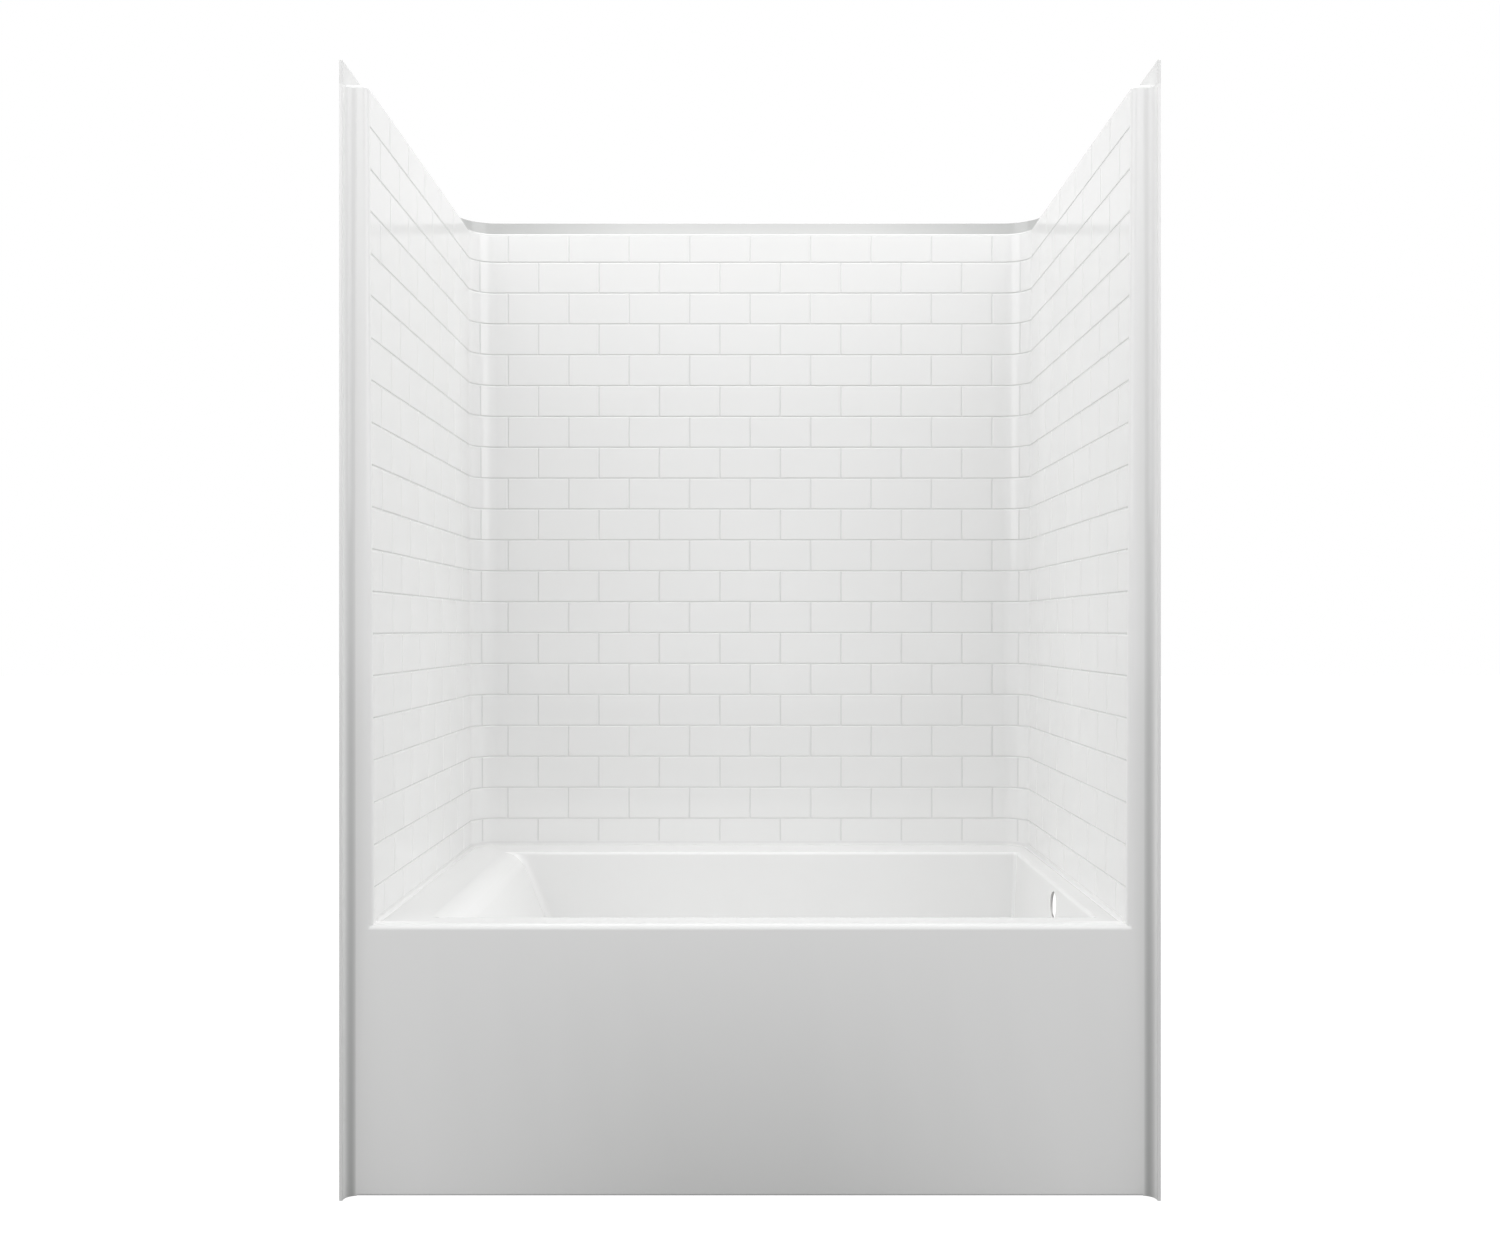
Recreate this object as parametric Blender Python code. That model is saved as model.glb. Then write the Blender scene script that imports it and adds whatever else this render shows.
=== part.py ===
"""Alcove tub and shower unit with moulded tile walls, for a 1524 mm (60 in) wide alcove.

Metres, +Z up, +Y towards the back wall. The origin is on the floor, midway across the width and
midway between the front lip and the back flange.

Every shell is drawn flat first: u runs along the walls from the middle of the back wall, h runs
outwards from the tile faces, z runs up. The wall bend then carries it round the two back corners.
"""

from math import cos, pi, radians, sin, tan

import bmesh
import bpy
from mathutils import Matrix, Vector

# Whole unit
UNIT_WIDTH = 1.524
UNIT_HEIGHT = 2.117
FLANGE_HEIGHT = 0.038
RIM_HEIGHT = 0.508
SHEET = 0.006
JOINT_FLANGE = 0.005
CLEARANCE = 0.0003
CUT_OVERRUN = 0.004
SAME_LINE = 0.00003
SEWING_SLACK = 0.000003
SAME_POINT = 0.0000003
CREASE_ANGLE = radians(28)

# Walls: at rim height the tile faces stand WALL_SETBACK in from the unit's sides, and they lean
# outwards by LEAN for each metre of height
WALL_SETBACK = 0.0571
BACK_FACE = 1.0402
LEAN = 0.0060
CORNER_RADIUS = 0.060
CORNER_STEPS = 5
CORNER_RETURN = 0.016
LEDGE_EDGE_RADIUS = 0.007
LEDGE_EDGE_STEPS = 3
JOINT_FLANGE_DEPTH = 0.034

# Moulded tiles
TILE_WIDTH = 0.1556
TILE_HEIGHT = 0.0794
FIRST_ROW = 0.0669
GROUT_HALF_WIDTH = 0.0032
GROUT_DEPTH = 0.0014
TILED_AREA_FOOT = 0.0085
SIDE_GROUT_FROM_BACK = 0.1507

# Front frame: columns, apron and lip
LIP_PROJECTION = 0.024
LIP_FILLET = 0.020
NOSE_RADIUS = 0.011
NOSE_STEPS = 4
NOSE_RETURN = 0.019
APRON_FOOT_DEPTH = 0.045

# Tub
DECK_WIDTH = 0.0929
DECK_ROLL = 0.060
BACKREST_ANGLE = radians(23)
DRAIN_END_RIM = 0.0359
FRONT_RIM = 0.087
BACK_RIM = 0.1222
BASIN_ROLL = 0.012
BASIN_DRAFT = radians(3)
BASIN_CORNER = 0.016
FLOOR_HEIGHT = 0.105
FLOOR_BLEND = 0.045
ROLL_STEPS = 4
BASIN_CORNER_STEPS = 4
SHELF_FRONT_CORNER = 0.002
DRAIN_HOLE = 0.050
DRAIN_FROM_WALL_FACE = 0.193
OVERFLOW_HOLE = 0.060
OVERFLOW_FROM_MIDDLE = 0.0425
OVERFLOW_UNDER_RIM = 0.0465
HOLE_SIDES = 20

# Sealant and tape
BEAD = 0.008
BEAD_TOE = 0.0006
TAPE_THICKNESS = 0.0012

# Timber and board behind the shells
TIMBER = 0.038
TIMBER_DEPTH = 0.089
BOARD = 0.018
WALL_BOARD = 0.012
BASE_MARGIN = 0.020
BEARER_INSET = 0.060
MIDDLE_BEARER_SHARE = 0.70
FULL_SHARE = 1.0
STIFFENER_SHARE = 0.36
POST_INSET = 0.110
POST_FROM_EDGE = 0.010
RAIL_SHARE = 0.84
SIDE_BOARD_INSET = 0.210
BACK_BOARD_SHARE = 0.806
LEFT_BOARD_SHARES = (0.157, 0.672)
RIGHT_BOARD_SHARES = (0.290, 0.805)
LOWER_BOARD_SHARES = (0.075, 0.367)
UPPER_BOARD_SHARES = (0.468, 0.760)

# Seam bolts
BOLT = 0.008
BOLT_HOLE = 0.009
BOLT_HEAD = 0.013
BOLT_HEAD_HEIGHT = 0.0053
BOLT_NUT_HEIGHT = 0.0065
BOLT_OVERHANG = 0.004
BOLT_SIDES = 12
HEX_SIDES = 6
BOLT_FROM_FACE = 0.019
SEAM_END_MARGIN = 0.160
SEAM_BOLT_COUNT = 4
APRON_BOLT_COUNT = 4
SIDE_SHELF_BOLT_COUNT = 2
BACK_SHELF_BOLT_COUNT = 3

# Worked out from the sizes above
HALF_WIDTH = UNIT_WIDTH / 2
FACE_HALF_WIDTH = HALF_WIDTH - WALL_SETBACK
WALL_TOP = UNIT_HEIGHT - FLANGE_HEIGHT
UNDER_LEDGE = WALL_TOP - SHEET
FACE_TOP = WALL_TOP - LEDGE_EDGE_RADIUS
TOP_LEAN = LEAN * (FACE_TOP - RIM_HEIGHT)
FLANGE_FACE = HALF_WIDTH - SHEET
TANGENT = FLANGE_FACE - LIP_FILLET
LIP_CENTRE = (TANGENT, LIP_PROJECTION - LIP_FILLET)
FLANGE_OUT = WALL_SETBACK - TOP_LEAN
FLANGE_IN = FLANGE_OUT - SHEET
UNIT_DEPTH = BACK_FACE + TOP_LEAN + FLANGE_OUT
HALF_DEPTH = UNIT_DEPTH / 2
LOWEST_GROUT = RIM_HEIGHT + FIRST_ROW
TILE_FOOT = RIM_HEIGHT + TILED_AREA_FOOT
TILE_ROWS = int((FACE_TOP - LOWEST_GROUT - GROUT_HALF_WIDTH * 2) / TILE_HEIGHT) + 2
COLUMN_FACE = LIP_PROJECTION
COLUMN_BACK = COLUMN_FACE + SHEET
NOSE_BACK = COLUMN_FACE + NOSE_RADIUS
FRAME_BACK = NOSE_BACK + NOSE_RETURN
WALL_FRONT = FRAME_BACK + CLEARANCE
FLAT_HALF = FACE_HALF_WIDTH - CORNER_RADIUS
ARC_LENGTH = CORNER_RADIUS * pi / 2
ARC_END = FLAT_HALF + ARC_LENGTH
SIDE_REAR = BACK_FACE - CORNER_RADIUS
SIDE_FRONT_U = ARC_END + SIDE_REAR - WALL_FRONT
SEAM_U = ARC_END + CORNER_RETURN
SIDE_REAR_U = SEAM_U + CLEARANCE
WALL_FOOT = RIM_HEIGHT + CLEARANCE
SIDE_GROUT_FROM_LIP = BACK_FACE - SIDE_GROUT_FROM_BACK
DECK_EDGE = DECK_WIDTH - FACE_HALF_WIDTH
DRAIN_END_EDGE = FACE_HALF_WIDTH - DRAIN_END_RIM
BASIN_BACK_EDGE = BACK_FACE - BACK_RIM
BASIN_MIDDLE = (FRONT_RIM + BASIN_BACK_EDGE) / 2
OVERFLOW_FROM_LIP = BASIN_MIDDLE - OVERFLOW_FROM_MIDDLE
OVERFLOW_HEIGHT = RIM_HEIGHT - OVERFLOW_UNDER_RIM
DRAIN_X = FACE_HALF_WIDTH - DRAIN_FROM_WALL_FACE
UNDER_RIM = RIM_HEIGHT - SHEET - CLEARANCE
UNDER_FLOOR = FLOOR_HEIGHT - SHEET - CLEARANCE
BOARD_FOOT = UNDER_FLOOR - BOARD
FOOT_FLANGE_TOP = WALL_FOOT + JOINT_FLANGE
FLANGE_GRIP = JOINT_FLANGE * 2 + CLEARANCE
SHELF_GRIP = JOINT_FLANGE + CLEARANCE + SHEET
BACKWARDS = Vector((0.0, 1.0, 0.0))
DOWN = Vector((0.0, 0.0, -1.0))

SHELL_COLOUR = (0.86, 0.86, 0.85)
SEALANT_COLOUR = (0.80, 0.80, 0.79)
TAPE_COLOUR = (0.30, 0.31, 0.32)
PLYWOOD_COLOUR = (0.62, 0.46, 0.28)
TIMBER_COLOUR = (0.72, 0.56, 0.36)
ZINC_COLOUR = (0.62, 0.63, 0.65)
SHELL_ROUGHNESS_SHARE = 0.12
SEALANT_ROUGHNESS_SHARE = 0.35
TAPE_ROUGHNESS_SHARE = 0.60
WOOD_ROUGHNESS_SHARE = 0.65
ZINC_ROUGHNESS_SHARE = 0.35
METAL_SHARE = 1.0


def clear_scene():
    for obj in list(bpy.data.objects):
        bpy.data.objects.remove(obj, do_unlink=True)


def make_material(name, colour, roughness, metallic=0.0):
    material = bpy.data.materials.new(name)
    material.use_nodes = True
    shader = material.node_tree.nodes["Principled BSDF"]
    shader.inputs["Base Color"].default_value = (*colour, 1.0)
    shader.inputs["Roughness"].default_value = roughness
    shader.inputs["Metallic"].default_value = metallic
    material.diffuse_color = (*colour, 1.0)
    return material


def from_lip(depth):
    """World Y of a distance measured back from the front edge of the lip."""
    return depth - HALF_DEPTH


def lean_at(z):
    return LEAN * (min(z, FACE_TOP) - RIM_HEIGHT)


def share_between(value, start, end):
    return min(max((value - start) / (end - start), 0.0), 1.0)


LAST_BACK_GROUT = TILE_WIDTH * int(FLAT_HALF / TILE_WIDTH)
LAST_SIDE_GROUT_U = ARC_END + SIDE_REAR - SIDE_GROUT_FROM_LIP


def on_wall(point):
    """Carries (u, h, z) drawn flat to its place on the leaning walls and round the back corners."""
    u, h, z = point
    side = 1.0 if u > 0 else -1.0
    run = abs(u)
    if run <= FLAT_HALF:
        x, depth = run, BACK_FACE + h
    elif run <= ARC_END:
        turn = (run - FLAT_HALF) / CORNER_RADIUS
        x = FLAT_HALF + (CORNER_RADIUS + h) * sin(turn)
        depth = SIDE_REAR + (CORNER_RADIUS + h) * cos(turn)
    else:
        x, depth = FACE_HALF_WIDTH + h, SIDE_REAR - (run - ARC_END)
    x += lean_at(z) * share_between(run, LAST_BACK_GROUT, FLAT_HALF)
    depth += lean_at(z) * (1.0 - share_between(run, ARC_END, LAST_SIDE_GROUT_U))
    return Vector((side * x, from_lip(depth), z))


def along(u_from_lip):
    """The flat coordinate u of a side wall point at this distance back from the lip."""
    return ARC_END + SIDE_REAR - u_from_lip


def same_place(point):
    return tuple(round(value / SAME_POINT) for value in point)


def points_on_edge(start, end, points):
    """The given points that lie between start and end, in order, so that neighbours share them."""
    line = end - start
    length = line.length
    if length < CLEARANCE:
        return []
    unit = line / length
    low = [min(a, b) - SAME_LINE for a, b in zip(start, end)]
    high = [max(a, b) + SAME_LINE for a, b in zip(start, end)]
    found = []
    for point in points:
        if not all(a <= value <= b for a, value, b in zip(low, point, high)):
            continue
        reach = (point - start).dot(unit)
        if SAME_LINE < reach < length - SAME_LINE:
            if (point - start - unit * reach).length < SEWING_SLACK:
                found.append((reach, point))
    return [point for _, point in sorted(found, key=lambda item: item[0])]


def sewn_mesh(outlines):
    """A closed mesh from flat outlines. Each outline takes in its neighbours' corners on its edges."""
    corners = {}
    for outline in outlines:
        for point in outline:
            corners.setdefault(same_place(point), Vector(point))
    by_height = {}
    for point in corners.values():
        by_height.setdefault(round(point.z / CLEARANCE), []).append(point)
    everything = list(corners.values())
    mesh = bmesh.new()
    made = {}
    for outline in outlines:
        ring = []
        for start, end in zip(outline, [*outline[1:], outline[0]]):
            first, last = corners[same_place(start)], corners[same_place(end)]
            level = round(first.z / CLEARANCE) == round(last.z / CLEARANCE)
            nearby = by_height[round(first.z / CLEARANCE)] if level else everything
            ring += [first, *points_on_edge(first, last, nearby)]
        vertices = []
        for point in ring:
            key = same_place(point)
            if key not in made:
                made[key] = mesh.verts.new(point)
            if not vertices or vertices[-1] is not made[key]:
                vertices.append(made[key])
        mesh.faces.new(vertices)
    return mesh


def add_object(name, mesh, material, smooth=True):
    bmesh.ops.recalc_face_normals(mesh, faces=mesh.faces)
    data = bpy.data.meshes.new(name)
    mesh.to_mesh(data)
    mesh.free()
    if smooth:
        data.shade_smooth()
        data.set_sharp_from_angle(angle=CREASE_ANGLE)
    data.materials.append(material)
    obj = bpy.data.objects.new(name, data)
    bpy.context.collection.objects.link(obj)
    return obj


def loft(rings, closed=False):
    """A closed mesh through rings of equal length, capped at both ends unless it closes on itself."""
    mesh = bmesh.new()
    rows = [[mesh.verts.new(point) for point in ring] for ring in rings]
    pairs = list(zip(rows, rows[1:]))
    if closed:
        pairs.append((rows[-1], rows[0]))
    for low, high in pairs:
        for i in range(len(low)):
            j = (i + 1) % len(low)
            mesh.faces.new((low[i], low[j], high[j], high[i]))
    if not closed:
        mesh.faces.new(rows[0])
        mesh.faces.new(rows[-1])
    return mesh


def box(name, x, depth, z, material):
    """A plain timber or board between pairs of limits, depth measured back from the lip."""
    ring = [(x[0], depth[0]), (x[1], depth[0]), (x[1], depth[1]), (x[0], depth[1])]
    rings = [[(a, from_lip(b), level) for a, b in ring] for level in z]
    return add_object(name, loft(rings), material, smooth=False)


def slab_on_wall(name, u, h, z, material):
    """A board or tape drawn flat on a wall and leaning with it."""
    ring = [(u[0], h[0]), (u[1], h[0]), (u[1], h[1]), (u[0], h[1])]
    rings = [[on_wall((a, b, level)) for a, b in ring] for level in z]
    return add_object(name, loft(rings), material, smooth=False)


# The tile pattern


def row_heights():
    """Bottom and top of each tile row, from the lowest row up."""
    lines = [LOWEST_GROUT + TILE_HEIGHT * i for i in range(TILE_ROWS - 1)]
    return list(zip([TILE_FOOT, *lines], [*lines, FACE_TOP]))


def row_is_centred(row):
    """The top row has a vertical joint on the middle line, and rows alternate below it."""
    return (TILE_ROWS - 1 - row) % 2 == 0


def back_joints(row):
    """Vertical joints of the back wall; between the centred rows each corner holds one more."""
    count = int(FLAT_HALF / TILE_WIDTH) + 1
    if row_is_centred(row):
        right = [TILE_WIDTH * i for i in range(1, count)]
        return [*[-u for u in reversed(right)], 0.0, *right]
    right = [TILE_WIDTH * (i + 0.5) for i in range(count) if TILE_WIDTH * (i + 0.5) < FLAT_HALF]
    right.append((right[-1] + LAST_SIDE_GROUT_U) / 2)
    return [*[-u for u in reversed(right)], *right]


def side_joints(row):
    """Vertical joints of the right end wall, in u, from the back corner to the front."""
    first = SIDE_GROUT_FROM_LIP - (TILE_WIDTH / 2 if row_is_centred(row) else 0.0)
    count = int((first - WALL_FRONT - GROUT_HALF_WIDTH * 2) / TILE_WIDTH) + 1
    return [along(first - TILE_WIDTH * i) for i in range(count)]


def mirrored_side_joints(row):
    return [-u for u in reversed(side_joints(row))]


def tile_outlines(left, right, low, high, left_end, right_end, foot, head):
    """One tile: its face and the sloping sides that run down to the middle of the grout lines.

    Grout lines lie GROUT_DEPTH behind the face. An end of the wall has no grout line of its own,
    and vertical grout lines stop at the foot and head of the tiled area.
    """
    a = left + (0.0 if left_end else GROUT_HALF_WIDTH)
    b = right - (0.0 if right_end else GROUT_HALF_WIDTH)
    c = low + (0.0 if foot else GROUT_HALF_WIDTH)
    d = high - (0.0 if head else GROUT_HALF_WIDTH)
    face = [(a, 0.0, c), (b, 0.0, c), (b, 0.0, d), (a, 0.0, d)]
    outlines = [face]
    groove_low = low + (GROUT_HALF_WIDTH if foot else 0.0)
    groove_high = high - (GROUT_HALF_WIDTH if head else 0.0)
    if not foot:
        outlines.append([(left, GROUT_DEPTH, low), (right, GROUT_DEPTH, low), face[1], face[0]])
    if not head:
        outlines.append([face[3], face[2], (right, GROUT_DEPTH, high), (left, GROUT_DEPTH, high)])
    for end, line, inner in ((left_end, left, a), (right_end, right, b)):
        if end:
            continue
        deep_low, deep_high = (line, GROUT_DEPTH, groove_low), (line, GROUT_DEPTH, groove_high)
        outlines.append([deep_low, (inner, 0.0, c), (inner, 0.0, d), deep_high])
        if foot:
            outlines.append([(line, 0.0, low), (inner, 0.0, c), deep_low])
        if head:
            outlines.append([deep_high, (inner, 0.0, d), (line, 0.0, high)])
    return outlines


def tiled_face(start, end, joints_of_row):
    outlines = []
    for row, (low, high) in enumerate(row_heights()):
        lines = [start, *joints_of_row(row), end]
        for left, right in zip(lines, lines[1:]):
            ends = (left == start, right == end)
            outlines += tile_outlines(left, right, low, high, *ends, row == 0, row == TILE_ROWS - 1)
    return outlines


def ledge_edge():
    """(h, z) points of the rounded edge from the tile faces on to the top ledge."""
    points = []
    for i in range(1, LEDGE_EDGE_STEPS + 1):
        turn = pi / 2 * i / LEDGE_EDGE_STEPS
        points.append((LEDGE_EDGE_RADIUS * (1 - cos(turn)), FACE_TOP + LEDGE_EDGE_RADIUS * sin(turn)))
    return points


def upright(u, h, low, high):
    """Four corners of a flat strip between two (u, h) lines, from low up to high."""
    return [(u[0], h[0], low), (u[1], h[1], low), (u[1], h[1], high), (u[0], h[0], high)]


def level(u, h, z):
    """Four corners of a level strip."""
    return [(u[0], h[0], z), (u[1], h[0], z), (u[1], h[1], z), (u[0], h[1], z)]


def top_section():
    """(h, z) points from the tile faces over the ledge and the nailing flange to the ledge's underside."""
    flange = [(FLANGE_IN, WALL_TOP), (FLANGE_IN, UNIT_HEIGHT), (FLANGE_OUT, UNIT_HEIGHT)]
    return [(0.0, FACE_TOP), *ledge_edge(), *flange, (FLANGE_OUT, UNDER_LEDGE)]


def end_cap(side):
    """The end of a wall, seen square on, with the notches of its level grout lines."""
    cap = [(side, 0.0, WALL_FOOT), (side, 0.0, TILE_FOOT)]
    for _, line in row_heights()[:-1]:
        cap.append((side, 0.0, line - GROUT_HALF_WIDTH))
        cap.append((side, GROUT_DEPTH, line))
        cap.append((side, 0.0, line + GROUT_HALF_WIDTH))
    cap += [(side, h, z) for h, z in top_section()]
    return [*cap, (side, JOINT_FLANGE_DEPTH, UNDER_LEDGE), (side, JOINT_FLANGE_DEPTH, WALL_FOOT)]


def back_outlines(start, end):
    """The back of a wall: bare sheet inside a joint flange along the foot and up both ends."""
    inner = (start + JOINT_FLANGE, end - JOINT_FLANGE)
    foot = WALL_FOOT + JOINT_FLANGE
    tip = JOINT_FLANGE_DEPTH
    under_ledge = [
        (start, FLANGE_OUT, UNDER_LEDGE), (end, FLANGE_OUT, UNDER_LEDGE), (end, tip, UNDER_LEDGE),
        (inner[1], tip, UNDER_LEDGE), (inner[1], SHEET, UNDER_LEDGE), (inner[0], SHEET, UNDER_LEDGE),
        (inner[0], tip, UNDER_LEDGE), (start, tip, UNDER_LEDGE),
    ]
    tips = [
        (start, tip, WALL_FOOT), (end, tip, WALL_FOOT), (end, tip, UNDER_LEDGE), (inner[1], tip, UNDER_LEDGE),
        (inner[1], tip, foot), (inner[0], tip, foot), (inner[0], tip, UNDER_LEDGE), (start, tip, UNDER_LEDGE),
    ]
    sheet = upright(inner, (SHEET, SHEET), foot, UNDER_LEDGE)
    sides = [upright((side, side), (SHEET, tip), foot, UNDER_LEDGE) for side in inner]
    return [under_ledge, tips, sheet, level(inner, (SHEET, tip), foot), *sides]


def wall_outlines(start, end, joints_of_row):
    """A whole wall drawn flat: tiles in front, ledge and nailing flange on top, joint flanges behind."""
    outlines = tiled_face(start, end, joints_of_row)
    outlines.append(upright((start, end), (0.0, 0.0), WALL_FOOT, TILE_FOOT))
    for (h0, z0), (h1, z1) in zip(top_section(), top_section()[1:]):
        outlines.append([(start, h0, z0), (end, h0, z0), (end, h1, z1), (start, h1, z1)])
    outlines += back_outlines(start, end)
    outlines.append(level((start, end), (0.0, JOINT_FLANGE_DEPTH), WALL_FOOT))
    outlines += [end_cap(start), end_cap(end)]
    return [[Vector(point) for point in outline] for outline in outlines]


def bend_lines(start, end):
    """Places in u where the flat drawing is cut so that it can bend and lean."""
    lines = []
    for side in (-1, 1):
        lines += [side * (FLAT_HALF + ARC_LENGTH * i / CORNER_STEPS) for i in range(CORNER_STEPS + 1)]
        lines += [side * LAST_BACK_GROUT, side * LAST_SIDE_GROUT_U]
    return [u for u in lines if start + JOINT_FLANGE < u < end - JOINT_FLANGE]


def make_wall(name, start, end, joints_of_row, material):
    mesh = sewn_mesh(wall_outlines(start, end, joints_of_row))
    for u in bend_lines(start, end):
        everything = [*mesh.verts, *mesh.edges, *mesh.faces]
        place, across = (u, 0, 0), (1, 0, 0)
        bmesh.ops.bisect_plane(mesh, geom=everything, plane_co=place, plane_no=across, dist=SAME_LINE)
    for vertex in mesh.verts:
        vertex.co = on_wall(vertex.co)
    return add_object(name, mesh, material)


def make_back_wall(material):
    return make_wall("back_wall", -SEAM_U, SEAM_U, back_joints, material)


def make_end_wall(name, side, material):
    if side > 0:
        return make_wall(name, SIDE_REAR_U, SIDE_FRONT_U, side_joints, material)
    return make_wall(name, -SIDE_FRONT_U, -SIDE_REAR_U, mirrored_side_joints, material)


# Front frame


def frame_point(t, depth, z, side):
    """A point t outwards from the opening's edge, on the column of this side."""
    return Vector((side * (FACE_HALF_WIDTH + lean_at(z) + t), from_lip(depth), z))


def frame_path(t, depth, top):
    """Down one column, across the apron and up the other, t outwards from the opening's edge."""
    foot = RIM_HEIGHT - t
    return [frame_point(t, depth, z, side) for side, z in ((-1, top), (-1, foot), (1, foot), (1, top))]


def arc(centre, radius, start, end, steps):
    turns = [start + (end - start) * i / steps for i in range(steps + 1)]
    return [(centre[0] + radius * cos(turn), centre[1] + radius * sin(turn)) for turn in turns]


def at(x, depth, z):
    return Vector((x, from_lip(depth), z))


def standing(side, near, far, low, high):
    """Four corners of an upright strip between two (x, depth) places on one side of the unit."""
    (x0, d0), (x1, d1) = near, far
    return [at(side * x0, d0, low), at(side * x1, d1, low), at(side * x1, d1, high), at(side * x0, d0, high)]


def along_x(start, end):
    """Four corners of a strip from column to column between two (depth, z) places."""
    (d0, z0), (d1, z1) = start, end
    return [at(-TANGENT, d0, z0), at(TANGENT, d0, z0), at(TANGENT, d1, z1), at(-TANGENT, d1, z1)]


def nose_paths():
    """The rounded edge of the opening, from the seam to the face, as paths at the full height."""
    centre = (NOSE_RADIUS, NOSE_BACK)
    nose = [(0.0, FRAME_BACK), *arc(centre, NOSE_RADIUS, pi, 1.5 * pi, NOSE_STEPS)]
    return [frame_path(t, depth, WALL_TOP) for t, depth in nose]


def inner_paths():
    """The same edge on the inside of the sheet, which ends under the ledge."""
    centre = (NOSE_RADIUS, NOSE_BACK)
    inner = arc(centre, NOSE_RADIUS - SHEET, pi, 1.5 * pi, NOSE_STEPS // 2)
    return [frame_path(t, depth, UNDER_LEDGE) for t, depth in [(SHEET, FRAME_BACK - JOINT_FLANGE), *inner]]


def flange_paths():
    """The front and back corners of the joint flange's tip."""
    tip = JOINT_FLANGE_DEPTH
    return [frame_path(tip, depth, UNDER_LEDGE) for depth in (FRAME_BACK - JOINT_FLANGE, FRAME_BACK)]


def lip_front():
    """(x, depth) points from the column face round the fillet to the front of the lip."""
    return [*arc(LIP_CENTRE, LIP_FILLET, pi / 2, 0.0, NOSE_STEPS), (FLANGE_FACE, 0.0)]


def lip_back():
    return arc(LIP_CENTRE, LIP_FILLET + SHEET, 0.0, pi / 2, NOSE_STEPS)


def folded_edge_outlines(visible, hidden, flange):
    """The nose and joint flange, swept down one column, across the apron and up the other."""
    chain = [*visible[::-1], flange[1], flange[0], *hidden]
    return [
        [low[i], low[i + 1], high[i + 1], high[i]]
        for low, high in zip(chain, chain[1:]) for i in range(len(low) - 1)
    ]


def side_flange_outlines(side):
    """The lip and the nailing flange that it becomes above the ledge."""
    fronts, backs = lip_front(), lip_back()
    inner, outer = (FLANGE_FACE, 0.0), (HALF_WIDTH, 0.0)
    rear, inner_rear = (HALF_WIDTH, FRAME_BACK), (FLANGE_FACE, FRAME_BACK)
    outlines = [standing(side, *pair, 0.0, WALL_TOP) for pair in zip(fronts[:-1], fronts[1:-1])]
    outlines.append(standing(side, fronts[-2], inner, 0.0, UNIT_HEIGHT))
    outlines.append(standing(side, inner, outer, 0.0, UNIT_HEIGHT))
    outlines += [standing(side, *pair, 0.0, UNDER_LEDGE) for pair in zip(backs, backs[1:])]
    outlines.append(standing(side, fronts[-2], inner_rear, WALL_TOP, UNIT_HEIGHT))
    outer_face = [(outer, 0.0), (backs[0], 0.0), (backs[0], UNDER_LEDGE), (rear, UNDER_LEDGE)]
    outer_face += [(rear, UNIT_HEIGHT), (outer, UNIT_HEIGHT)]
    outlines.append([at(side * x, depth, z) for (x, depth), z in outer_face])
    outlines.append([at(side * x, depth, UNIT_HEIGHT) for x, depth in (inner, outer, rear, inner_rear)])
    return outlines


def column_end_outlines(side, visible, hidden, flange):
    """The ledge, its underside and the back edge of one column, which meets the end wall."""
    end = 0 if side < 0 else -1
    inner_rear = at(side * FLANGE_FACE, FRAME_BACK, WALL_TOP)
    outer_rear = at(side * HALF_WIDTH, FRAME_BACK, UNDER_LEDGE)
    tops = [at(side * FLANGE_FACE, FRAME_BACK, UNIT_HEIGHT), at(side * HALF_WIDTH, FRAME_BACK, UNIT_HEIGHT)]
    ledge = [path[end] for path in visible] + [at(side * x, d, WALL_TOP) for x, d in lip_front()[:-1]]
    under = [at(side * x, d, UNDER_LEDGE) for x, d in lip_back()] + [path[end] for path in hidden[::-1]]
    back = [flange[1][end], outer_rear, tops[1], tops[0], inner_rear, visible[0][end]]
    return [[*ledge, inner_rear], [*under, flange[0][end], flange[1][end], outer_rear], back]


def apron_outlines(visible, hidden):
    """The one flat face of apron and columns, its back, and the foot turned back under the apron."""
    foot_back = COLUMN_FACE + APRON_FOOT_DEPTH
    outer, inner = visible[-1][::-1], hidden[-1][::-1]
    face = [at(-TANGENT, COLUMN_FACE, 0.0), at(TANGENT, COLUMN_FACE, 0.0), at(TANGENT, COLUMN_FACE, WALL_TOP)]
    back = [at(-TANGENT, COLUMN_BACK, SHEET), at(TANGENT, COLUMN_BACK, SHEET)]
    back.append(at(TANGENT, COLUMN_BACK, UNDER_LEDGE))
    outlines = [
        [*face, *outer, at(-TANGENT, COLUMN_FACE, WALL_TOP)],
        [*back, *inner, at(-TANGENT, COLUMN_BACK, UNDER_LEDGE)],
        along_x((COLUMN_BACK, SHEET), (foot_back, SHEET)),
        along_x((foot_back, 0.0), (foot_back, SHEET)),
    ]
    for side in (-1, 1):
        outlines.append(standing(side, (TANGENT, COLUMN_BACK), (TANGENT, foot_back), 0.0, SHEET))
    half = [*lip_front(), (HALF_WIDTH, 0.0), *lip_back(), (TANGENT, foot_back)]
    outlines.append([at(x, d, 0.0) for x, d in half] + [at(-x, d, 0.0) for x, d in half[::-1]])
    return outlines


def front_frame_outlines():
    visible, hidden, flange = nose_paths(), inner_paths(), flange_paths()
    outlines = folded_edge_outlines(visible, hidden, flange)
    for side in (-1, 1):
        outlines += side_flange_outlines(side)
        outlines += column_end_outlines(side, visible, hidden, flange)
    return outlines + apron_outlines(visible, hidden)


def make_front_frame(material):
    return add_object("front_frame", sewn_mesh(front_frame_outlines()), material)


# Tub


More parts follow.
